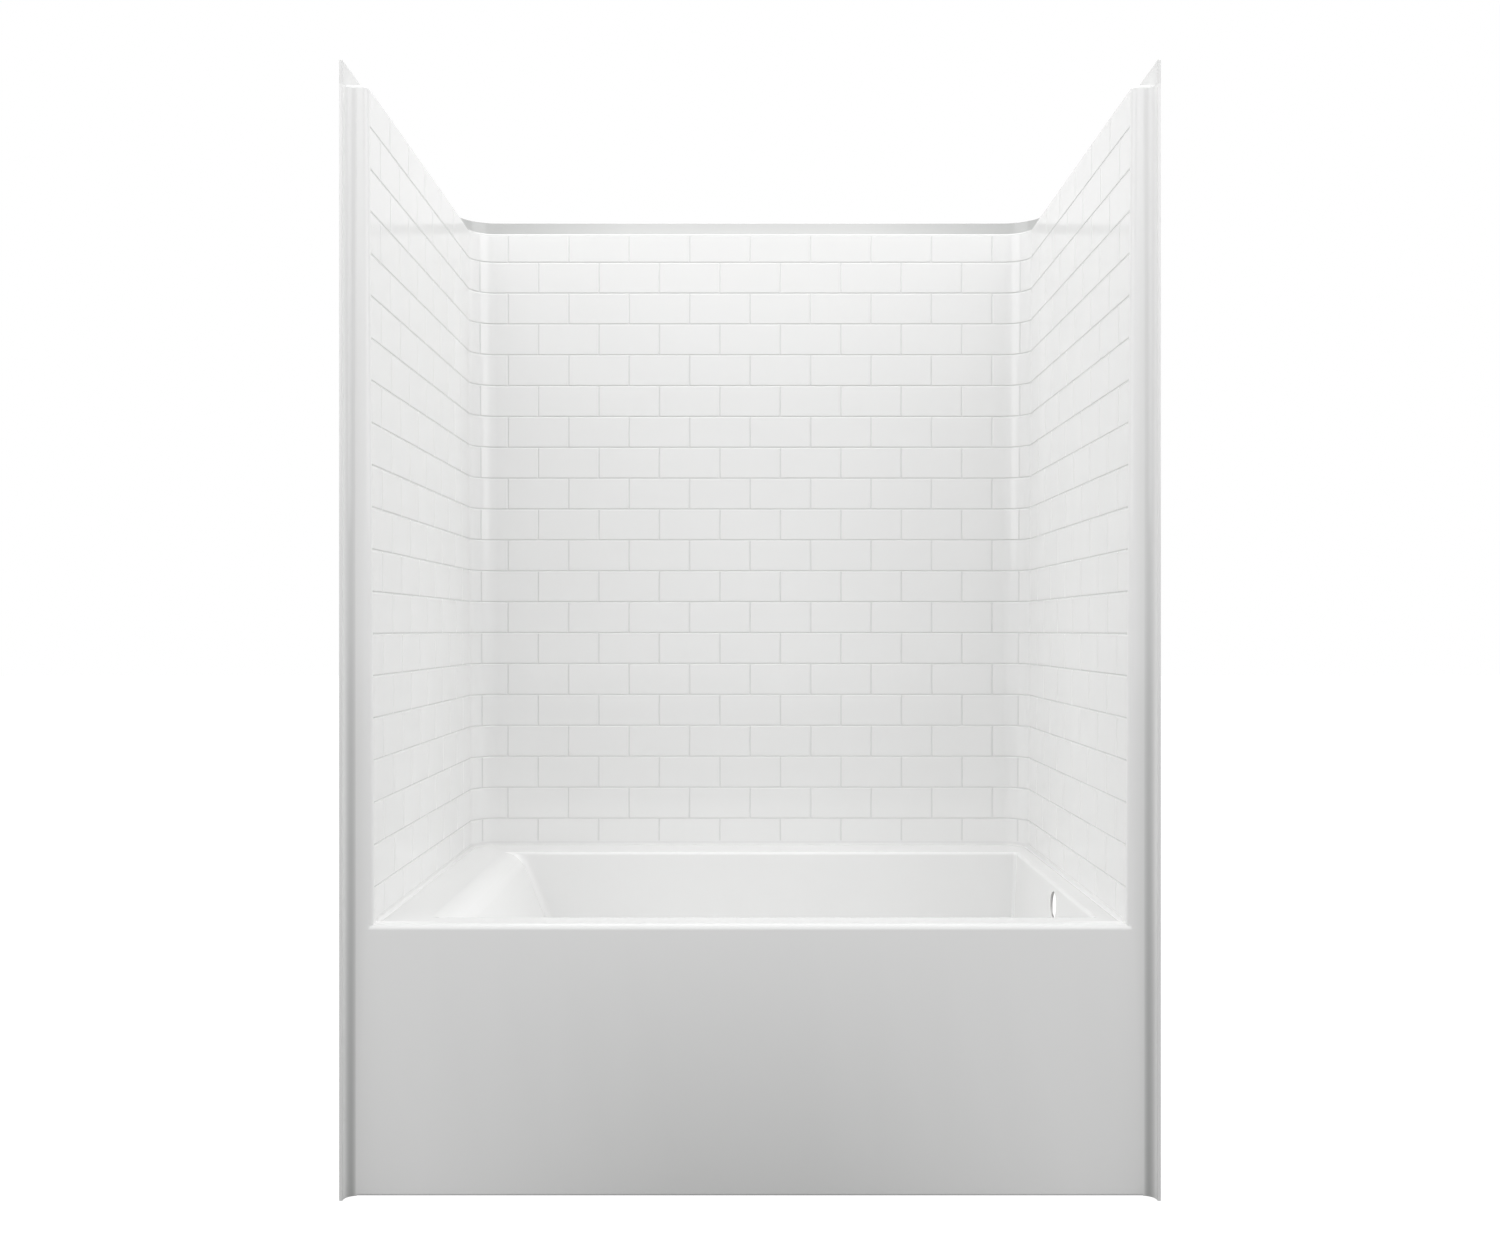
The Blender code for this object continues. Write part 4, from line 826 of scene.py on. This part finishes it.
def wall_ring(u, joints, flange):
    """The wall's closed section at u, with the painted shade at each point of the face.

    flange is how far its back stands out there.
    """
    under, foot = WALL_TOP - SHEET, WALL_FOOT + JOINT_FLANGE
    depths = [relief(u, z, joints) for z in wall_heights()]
    ring = [on_wall(u, h, z) for h, z in zip(depths, wall_heights())]
    ring += [on_wall(u, h, z) for h, z in ledge_section()]
    # Painted shade: the grout lines are darkened in step with their depth.
    shade_paints = [GROUT_PAINTED_SHADE * h / GROUT_DEPTH for h in depths]
    shade_paints += [top_painted_shade(u, z) for h, z in ledge_section()]
    shown = len(ring) - 1
    ring.append(on_wall(u, FLANGE_OUT, under))
    rise = min(JOINT_CHAMFER, JOINT_DEPTH - flange)
    back = [
        (flange + JOINT_CHAMFER, under), (flange, under - JOINT_CHAMFER), (flange, foot + JOINT_CHAMFER),
        (flange + rise, foot), (JOINT_DEPTH, foot), (JOINT_DEPTH, WALL_FOOT),
    ]
    ring += [on_wall(u, min(h, JOINT_DEPTH), z) for h, z in back]
    return ring, shade_paints, shown


def corner_places():
    """Places along u round the right back corner, with the grout lines beside it."""
    turns = [FLAT_HALF + ARC_LENGTH * i / ARC_STEPS for i in range(ARC_STEPS + 1)]
    return [LAST_BACK_GROUT, *turns, LAST_SIDE_GROUT]


def wall_stations(start, end, joints):
    """Places along u, each with how far the back stands out: end flanges, corner arcs and tile joints."""
    first, last = start + JOINT_FLANGE, end - JOINT_FLANGE
    lines = {*joints[False], *joints[True]}
    places = [u for joint in lines for u in across_groove(joint)]
    places += [side * u for side in (-1, 1) for u in corner_places()]
    places = sorted({round(u, 6) for u in places if first + 0.004 < u < last - 0.004})
    near_root = [(first + run, h) for run, h in FLANGE_ROOT]
    far_root = [(last - run, h) for run, h in reversed(FLANGE_ROOT)]
    near_end = [(start, JOINT_DEPTH), (first, JOINT_DEPTH)]
    far_end = [(last, JOINT_DEPTH), (end, JOINT_DEPTH)]
    return [*near_end, *near_root, *[(u, SHEET) for u in places], *far_root, *far_end]


def make_wall(name, node, start, end, joints):
    mesh = bmesh.new()
    shade_layer = mesh.verts.layers.float.new(PAINTED_SHADE_LAYER)
    rows = []
    for u, flange in wall_stations(start, end, joints):
        ring, shade_paints, shown = wall_ring(u, joints, flange)
        row = [mesh.verts.new(point) for point in ring]
        for vertex, shade_paint in zip(row, shade_paints):
            vertex[shade_layer] = shade_paint
        rows.append(row)
    for near, far in zip(rows, rows[1:]):
        skin(mesh, near, far, shown)
    for row in (rows[0], rows[-1]):
        mesh.faces.new(row).material_index = 1
    wall = finish_shell(name, mesh)
    even_shading(wall)
    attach(wall, "root")
    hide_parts(node)


def mirrored(lines):
    return sorted([*lines, *[-u for u in lines if u]])


corner_joint = (TILE_WIDTH * 3.5 + LAST_SIDE_GROUT) / 2
back_joints = {
    True: mirrored([TILE_WIDTH * i for i in range(5)]),
    False: mirrored([*[TILE_WIDTH * (i + 0.5) for i in range(4)], corner_joint]),
}
side_joints = {
    True: [LAST_SIDE_GROUT + TILE_WIDTH * (i + 0.5) for i in range(5)],
    False: [LAST_SIDE_GROUT + TILE_WIDTH * i for i in range(6)],
}
left_joints = {row: [-u for u in lines] for row, lines in side_joints.items()}
make_wall("back_wall_shell", "back_wall", -SEAM_U, SEAM_U, back_joints)
make_wall("right_wall_shell", "right_end_wall", SEAM_U + HAIRLINE, SIDE_FRONT_U, side_joints)
make_wall("left_wall_shell", "left_end_wall", -SIDE_FRONT_U, -SEAM_U - HAIRLINE, left_joints)

# Front frame: one gelcoated moulding with the apron and both columns. Its inner edge rolls back to a strip
# along the end walls, where their level grout lines run on. Its outer edges curve forward into the lip,
# which stands on as the side nailing flange above the ledge.
COLUMN_FACE = 0.024
LIP_FILLET = 0.020
NOSE_RADIUS = 0.011
NOSE_BACK = COLUMN_FACE + NOSE_RADIUS
FLANGE_FACE = HALF_WIDTH - SHEET
TANGENT = FLANGE_FACE - LIP_FILLET
FOOT_DEPTH = 0.045
FOOT_EDGE = 0.004
NOSE_STEPS = 14
GROUT_RUN_OUT = 0.003
LIP_EDGE = 0.0009
FILLET_STEPS = 10
# Painted shade: the angle behind each lip and the lip's front darken towards the foot, and the apron darkens
# towards its foot, most in the middle.
GROOVE_LINE = 0.7455
GROOVE_REACH = 0.0102
GROOVE_PAINTED_SHADE = (0.0, 1.0)
LIP_PAINTED_SHADE = (0.10, 0.28)
APRON_FOOT_PAINTED_SHADE = 0.42
APRON_FOOT_START = 0.15


def sweep(mesh, rings, shown, shade_paint=None):
    """Adds a capped sweep to the mesh. Ring edges numbered from shown on are bare laminate.

    Its last argument, where given, tells the painted shade at a point.
    """
    rows = [[mesh.verts.new(point) for point in ring] for ring in rings]
    if shade_paint:
        shade_layer = mesh.verts.layers.float[PAINTED_SHADE_LAYER]
        for row in rows:
            for vertex in row[:shown + 1]:
                vertex[shade_layer] = shade_paint(vertex.co)
    for near, far in zip(rows, rows[1:]):
        skin(mesh, near, far, shown)
    for row in (rows[0], rows[-1]):
        mesh.faces.new(row)


def on_side(side, x, depth, z):
    return Vector((side * x, from_lip(depth), z))


def nose_section(inset, sunk=0.0):
    """(t, depth) points from the seam over the nose to the face, t outwards from the opening.

    sunk is the depth of the grout line that runs on from the wall to the nose at this height.
    """
    strip = [(inset + sunk, FRAME_BACK), (inset + sunk, NOSE_BACK + GROUT_RUN_OUT)]
    return [*strip, *arc((NOSE_RADIUS, NOSE_BACK), NOSE_RADIUS - inset, pi, 1.5 * pi, NOSE_STEPS)]


def frame_ring(side, z):
    """The folded sheet's section on a column at height z, or across the apron when z is None.

    side runs from -1 at the left mitre to 1 at the right one.
    """
    centre, seam = (NOSE_RADIUS, NOSE_BACK), FRAME_BACK - JOINT_FLANGE
    inner = [*arc(centre, NOSE_RADIUS - SHEET, 1.5 * pi, pi, NOSE_STEPS // 2), (SHEET, seam)]
    flange = [(JOINT_DEPTH, seam), (JOINT_DEPTH, FRAME_BACK)]

    def at(t, depth):
        level = RIM_HEIGHT - t if z is None else z
        return on_side(side, FACE_HALF_WIDTH + lean_at(level) + t, depth, level)

    sunk = 0.0 if z in (None, RIM_HEIGHT, FACE_TOP) else GROUT_DEPTH * level_groove(z)
    foot = FOOT_EDGE if z is None else z
    edge = [on_side(side, TANGENT, depth, foot) for depth in (COLUMN_FACE, COLUMN_FACE + SHEET)]
    front, back = nose_section(0.0, sunk), [*inner, *flange]
    return [*[at(*point) for point in front], *edge, *[at(*point) for point in back]]


def column_top(mesh, side):
    """The ledge over the column, its edge rounded like that of the walls."""
    rings = []
    for inset, z in ledge_edge():
        points = [(FACE_HALF_WIDTH + lean_at(z) + t, depth) for t, depth in nose_section(inset)]
        points += [(FLANGE_FACE, COLUMN_FACE + inset), (FLANGE_FACE, FRAME_BACK)]
        rings.append([on_side(side, x, depth, z) for x, depth in points])
    sweep(mesh, rings, len(rings[0]) - 1)


def lip_tip(inset):
    """(x, depth) points round the square front of the lip, its two corners rubbed down."""
    edge = LIP_EDGE + inset
    inner = arc((FLANGE_FACE + edge, edge), LIP_EDGE, pi, 1.5 * pi, 4)
    outer = arc((HALF_WIDTH - edge, edge), LIP_EDGE, 1.5 * pi, 2 * pi, 4)
    return [*inner, *outer]


def lip_section():
    """(x, depth) points from the column face round the fillet and the lip's tip to the back."""
    centre = (TANGENT, COLUMN_FACE - LIP_FILLET)
    fillet = arc(centre, LIP_FILLET, pi / 2, 0.0, FILLET_STEPS)
    back = arc(centre, LIP_FILLET + SHEET, 0.0, pi / 2, FILLET_STEPS)
    return fillet, lip_tip(0.0), back


def groove_painted_shade(point):
    """Painted shade on the trimmed lip and in the angle behind it: darkest towards the foot."""
    if point.y + HALF_DEPTH < 3 * LIP_EDGE:
        return LIP_PAINTED_SHADE[1] + (LIP_PAINTED_SHADE[0] - LIP_PAINTED_SHADE[1]) * point.z / FACE_TOP
    reach = abs(abs(point.x) - GROOVE_LINE) / GROOVE_REACH
    top, foot = GROOVE_PAINTED_SHADE
    return (foot + (top - foot) * point.z / FACE_TOP) * max(1.0 - reach ** 2, 0.0)


def apron_painted_shade(point):
    """Painted shade on the frame: in its grout lines, on the apron's nose, at the middle of the apron's
    foot, and on and beside the lip.
    """
    if abs(point.x) > TANGENT - HAIRLINE:
        return groove_painted_shade(point)
    if point.z > RIM_HEIGHT + HAIRLINE and point.y + HALF_DEPTH > NOSE_BACK + HAIRLINE:
        return GROUT_PAINTED_SHADE * (abs(point.x) - FACE_HALF_WIDTH - lean_at(point.z)) / GROUT_DEPTH
    low = 1.0 - share_between(point.z, 0.0, RIM_HEIGHT - NOSE_RADIUS)
    if not low and (point.z < RIM_HEIGHT - HAIRLINE or abs(point.x) < FACE_HALF_WIDTH - HAIRLINE):
        return RIM_PAINTED_SHADE * share_between(point.y + HALF_DEPTH, COLUMN_FACE, COLUMN_FACE + NOSE_RADIUS * 0.3)
    return APRON_FOOT_PAINTED_SHADE * low * (1.0 - share_between(abs(point.x), APRON_FOOT_START, TANGENT))


def make_lip(mesh, side):
    fillet, tip, back = lip_section()
    levels = (0.0, RIM_HEIGHT, FACE_TOP)
    rings = [[on_side(side, x, depth, z) for x, depth in [*fillet, *tip, *back]] for z in levels]
    sweep(mesh, rings, len(fillet) + len(tip) - 1, groove_painted_shade)
    rings = []
    for z, inset in ((FACE_TOP, 0.0), (UNIT_HEIGHT - FLANGE_TIP, 0.0),
                     (UNIT_HEIGHT - FLANGE_TIP / 3, FLANGE_TIP / 3), (UNIT_HEIGHT, FLANGE_TIP)):
        rear = [(HALF_WIDTH - inset, FRAME_BACK), (FLANGE_FACE + inset, FRAME_BACK)]
        rings.append([on_side(side, x, depth, z) for x, depth in [*lip_tip(inset), *rear]])
    # Painted shade on the side flange above the ledge.
    sweep(mesh, rings, len(rings[0]), lambda point: END_FLANGE_PAINTED_SHADE)


def make_front_frame():
    mesh = bmesh.new()
    mesh.verts.layers.float.new(PAINTED_SHADE_LAYER)
    apron = [(i / 6, None) for i in range(-6, 7)]
    levels = [RIM_HEIGHT, *[z for z in wall_heights() if z > LOWEST_GROUT - TILE_HEIGHT / 2]]
    places = [*[(-1, z) for z in reversed(levels)], *apron, *[(1, z) for z in levels]]
    rings = [frame_ring(*place) for place in places]
    sweep(mesh, rings, NOSE_STEPS + 4, apron_painted_shade)
    for side in (-1, 1):
        column_top(mesh, side)
        make_lip(mesh, side)
    rise = arc((COLUMN_FACE + FOOT_EDGE, FOOT_EDGE), FOOT_EDGE, pi, 1.5 * pi, 6)
    foot_back, sheet_back = COLUMN_FACE + FOOT_DEPTH, COLUMN_FACE + SHEET
    foot = [*rise, (foot_back, 0.0), (foot_back, SHEET), (sheet_back, SHEET), (sheet_back, FOOT_EDGE)]
    rings = [[on_side(side, TANGENT, depth, z) for depth, z in foot] for side, _ in apron]
    sweep(mesh, rings, len(rise), apron_painted_shade)
    return finish_shell("front_frame_shell", mesh)


front_frame = make_front_frame()
even_shading(front_frame)
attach(front_frame, "root")
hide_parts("front_frame")

# Rim sealant: a hollow-faced bead of white silicone, which keeps water out of the joint between walls
# and rim. It is gunned along the angle round three sides and tooled smooth, and runs out thin at both ends.
BEAD = 0.008
BEAD_STEPS = 10
BEAD_SEAT = 0.0001
SILICONE_DULL = (0.79, 0.79, 0.785, 1.0)
SILICONE_PALE = (0.82, 0.82, 0.815, 1.0)


def silicone():
    material, nodes, shader = start_material("white_silicone")
    place = nodes.new("ShaderNodeTexCoord").outputs["Object"]
    tooling = noise(nodes, scale=30.0)
    tint = blend(nodes, SILICONE_DULL, SILICONE_PALE)
    link(material, place, tooling.inputs["Vector"])
    link(material, tooling.outputs["Fac"], tint.inputs["Factor"])
    link(material, tint.outputs["Result"], shader.inputs["Base Color"])
    wear(material, shader, size=14.0, amount=0.7, clean=0.40, marked=0.55)
    add_bump(material, shader, tooling.outputs["Fac"], strength=0.08, distance=0.0005)
    return material


def bead_ring(u, share):
    """The bead's section at u, drawn down to a share of its full size."""
    reach, foot = BEAD * share, RIM_HEIGHT + HAIRLINE
    low, high = -HAIRLINE - reach, foot + reach
    hollow = arc((low, high), reach - BEAD_SEAT, -pi / 2, 0.0, BEAD_STEPS)
    return [on_wall(u, h, z) for h, z in [(-HAIRLINE, foot), (low, foot), *hollow, (-HAIRLINE, high)]]


def make_sealant():
    """The bead round three sides, from its left end to its right one."""
    places = [0.2, 0.4, *corner_places(), 1.1, 1.4, SIDE_FRONT_U - BEAD]
    right = [*[(u, 1.0) for u in places], (SIDE_FRONT_U - BEAD / 3, 0.7), (SIDE_FRONT_U, 0.25)]
    stations = [*[(-u, share) for u, share in reversed(right)], *right]
    rings = [bead_ring(*station) for station in stations]
    mesh = bmesh.new()
    sweep(mesh, rings, len(rings[0]))
    bead = finish_shell("rim_sealant_bead", mesh, finishes=(silicone(),))
    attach(bead, "root")
    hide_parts("rim_sealant")


make_sealant()

# Joint tapes: strips of grey butyl tape, cut to length and pressed over the tips of each pair of joint
# flanges, against draughts and damp.
TAPE_EDGE = 0.0004
TAPE_DARK = (0.30, 0.31, 0.32, 1.0)
TAPE_DUSTY = (0.38, 0.39, 0.40, 1.0)


def butyl_tape():
    material, nodes, shader = start_material("grey_butyl_tape")
    place = nodes.new("ShaderNodeTexCoord").outputs["Object"]
    weave = noise(nodes, scale=160.0, detail=4.0)
    tint = blend(nodes, TAPE_DARK, TAPE_DUSTY)
    link(material, place, weave.inputs["Vector"])
    link(material, tint.outputs["Result"], shader.inputs["Base Color"])
    dust = wear(material, shader, size=20.0, amount=1.0, clean=0.42, marked=0.75)
    link(material, dust, tint.inputs["Factor"])
    add_bump(material, shader, weave.outputs["Fac"], strength=0.4, distance=0.0006)
    return material


tape_finish = butyl_tape()
for node in ("left_corner_tape", "right_corner_tape", "left_front_tape", "right_front_tape", "apron_tape"):
    dress(node, tape_finish, TAPE_EDGE)

# Seam bolts: zinc-plated M8 hexagon bolts with washers and nuts, 13 mm over the corners of the head,
# through each pair of joint flanges. Heads are chamfered and the thread shows past the nut.
BOLT_RADIUS = 0.004
HEAD_RADIUS = 0.0065
HEAD_THICKNESS = 0.0053
NUT_THICKNESS = 0.0065
WASHER_RADIUS = 0.008
WASHER_THICKNESS = 0.0012
THREAD_END = 0.004
THREAD_PITCH = 0.00125
THREAD_DEPTH = 0.0006
CHAMFER = 0.0008
BOLT_SIDES = 24
ZINC_DULL = (0.62, 0.63, 0.65, 1.0)
ZINC_BRIGHT = (0.74, 0.74, 0.72, 1.0)


def zinc():
    material, nodes, shader = start_material("zinc_plate")
    shader.inputs["Metallic"].default_value = 1.0
    place = nodes.new("ShaderNodeTexCoord").outputs["Object"]
    crystals = noise(nodes, scale=240.0)
    tint = blend(nodes, ZINC_DULL, ZINC_BRIGHT)
    link(material, place, crystals.inputs["Vector"])
    link(material, crystals.outputs["Fac"], tint.inputs["Factor"])
    link(material, tint.outputs["Result"], shader.inputs["Base Color"])
    wear(material, shader, size=180.0, amount=1.0, clean=0.24, marked=0.45)
    add_bump(material, shader, crystals.outputs["Fac"], strength=0.15, distance=0.0003)
    return material


def bolt_levels(grip):
    """(radius, six-sided, height) of each ring from the head's top, below, to the thread's end."""
    nut = grip + NUT_THICKNESS
    end = nut + THREAD_END
    washer = grip + WASHER_THICKNESS
    levels = [
        (HEAD_RADIUS - CHAMFER * 2, False, -HEAD_THICKNESS), (HEAD_RADIUS - CHAMFER, False, -HEAD_THICKNESS),
        (HEAD_RADIUS, True, -HEAD_THICKNESS + CHAMFER), (HEAD_RADIUS, True, -WASHER_THICKNESS),
        (WASHER_RADIUS, False, -WASHER_THICKNESS), (WASHER_RADIUS, False, 0.0),
        (BOLT_RADIUS, False, 0.0), (BOLT_RADIUS, False, grip),
        (WASHER_RADIUS, False, grip), (WASHER_RADIUS, False, washer),
        (HEAD_RADIUS, True, washer), (HEAD_RADIUS, True, nut - CHAMFER), (HEAD_RADIUS - CHAMFER, False, nut),
        (BOLT_RADIUS, False, nut),
    ]
    z = nut
    while z + THREAD_PITCH < end:
        levels.append((BOLT_RADIUS - THREAD_DEPTH, False, z + THREAD_PITCH * 0.5))
        levels.append((BOLT_RADIUS, False, z + THREAD_PITCH))
        z += THREAD_PITCH
    return [*levels, (BOLT_RADIUS - THREAD_DEPTH, False, end)]


def bolt_mesh(name, grip, finish):
    mesh = bmesh.new()
    rows = []
    for radius, six, z in bolt_levels(grip):
        row = []
        for i in range(BOLT_SIDES):
            turn = 2 * pi * i / BOLT_SIDES
            reach = radius * cos(pi / 6) / cos((turn % (pi / 3)) - pi / 6) if six else radius
            row.append(mesh.verts.new((reach * cos(turn), reach * sin(turn), z)))
        rows.append(row)
    for near, far in zip(rows, rows[1:]):
        skin(mesh, near, far)
    mesh.faces.new(rows[0])
    mesh.faces.new(rows[-1])
    data = close_mesh(name, mesh)
    data.set_sharp_from_angle(angle=radians(32))
    data.materials.append(finish)
    return data


def place_bolts():
    finish = zinc()
    for node in sorted(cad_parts):
        if "_bolt_" not in node:
            continue
        low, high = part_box(node)
        axis = 2 if "shelf" in node else 1
        length = high[axis] - low[axis]
        grip = length - HEAD_THICKNESS - NUT_THICKNESS - THREAD_END
        bolt = bpy.data.objects.new(f"{node}_set", bolt_mesh(f"{node}_set", grip, finish))
        middle = (low + high) / 2
        if axis == 2:
            bolt.location = (middle.x, middle.y, high.z - HEAD_THICKNESS)
            bolt.rotation_euler = (pi, 0.0, 0.0)
        else:
            bolt.location = (middle.x, low.y + HEAD_THICKNESS, middle.z)
            bolt.rotation_euler = (-pi / 2, 0.0, 0.0)
        bpy.context.collection.objects.link(bolt)
        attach(bolt, "root")
        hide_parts(node)


place_bolts()
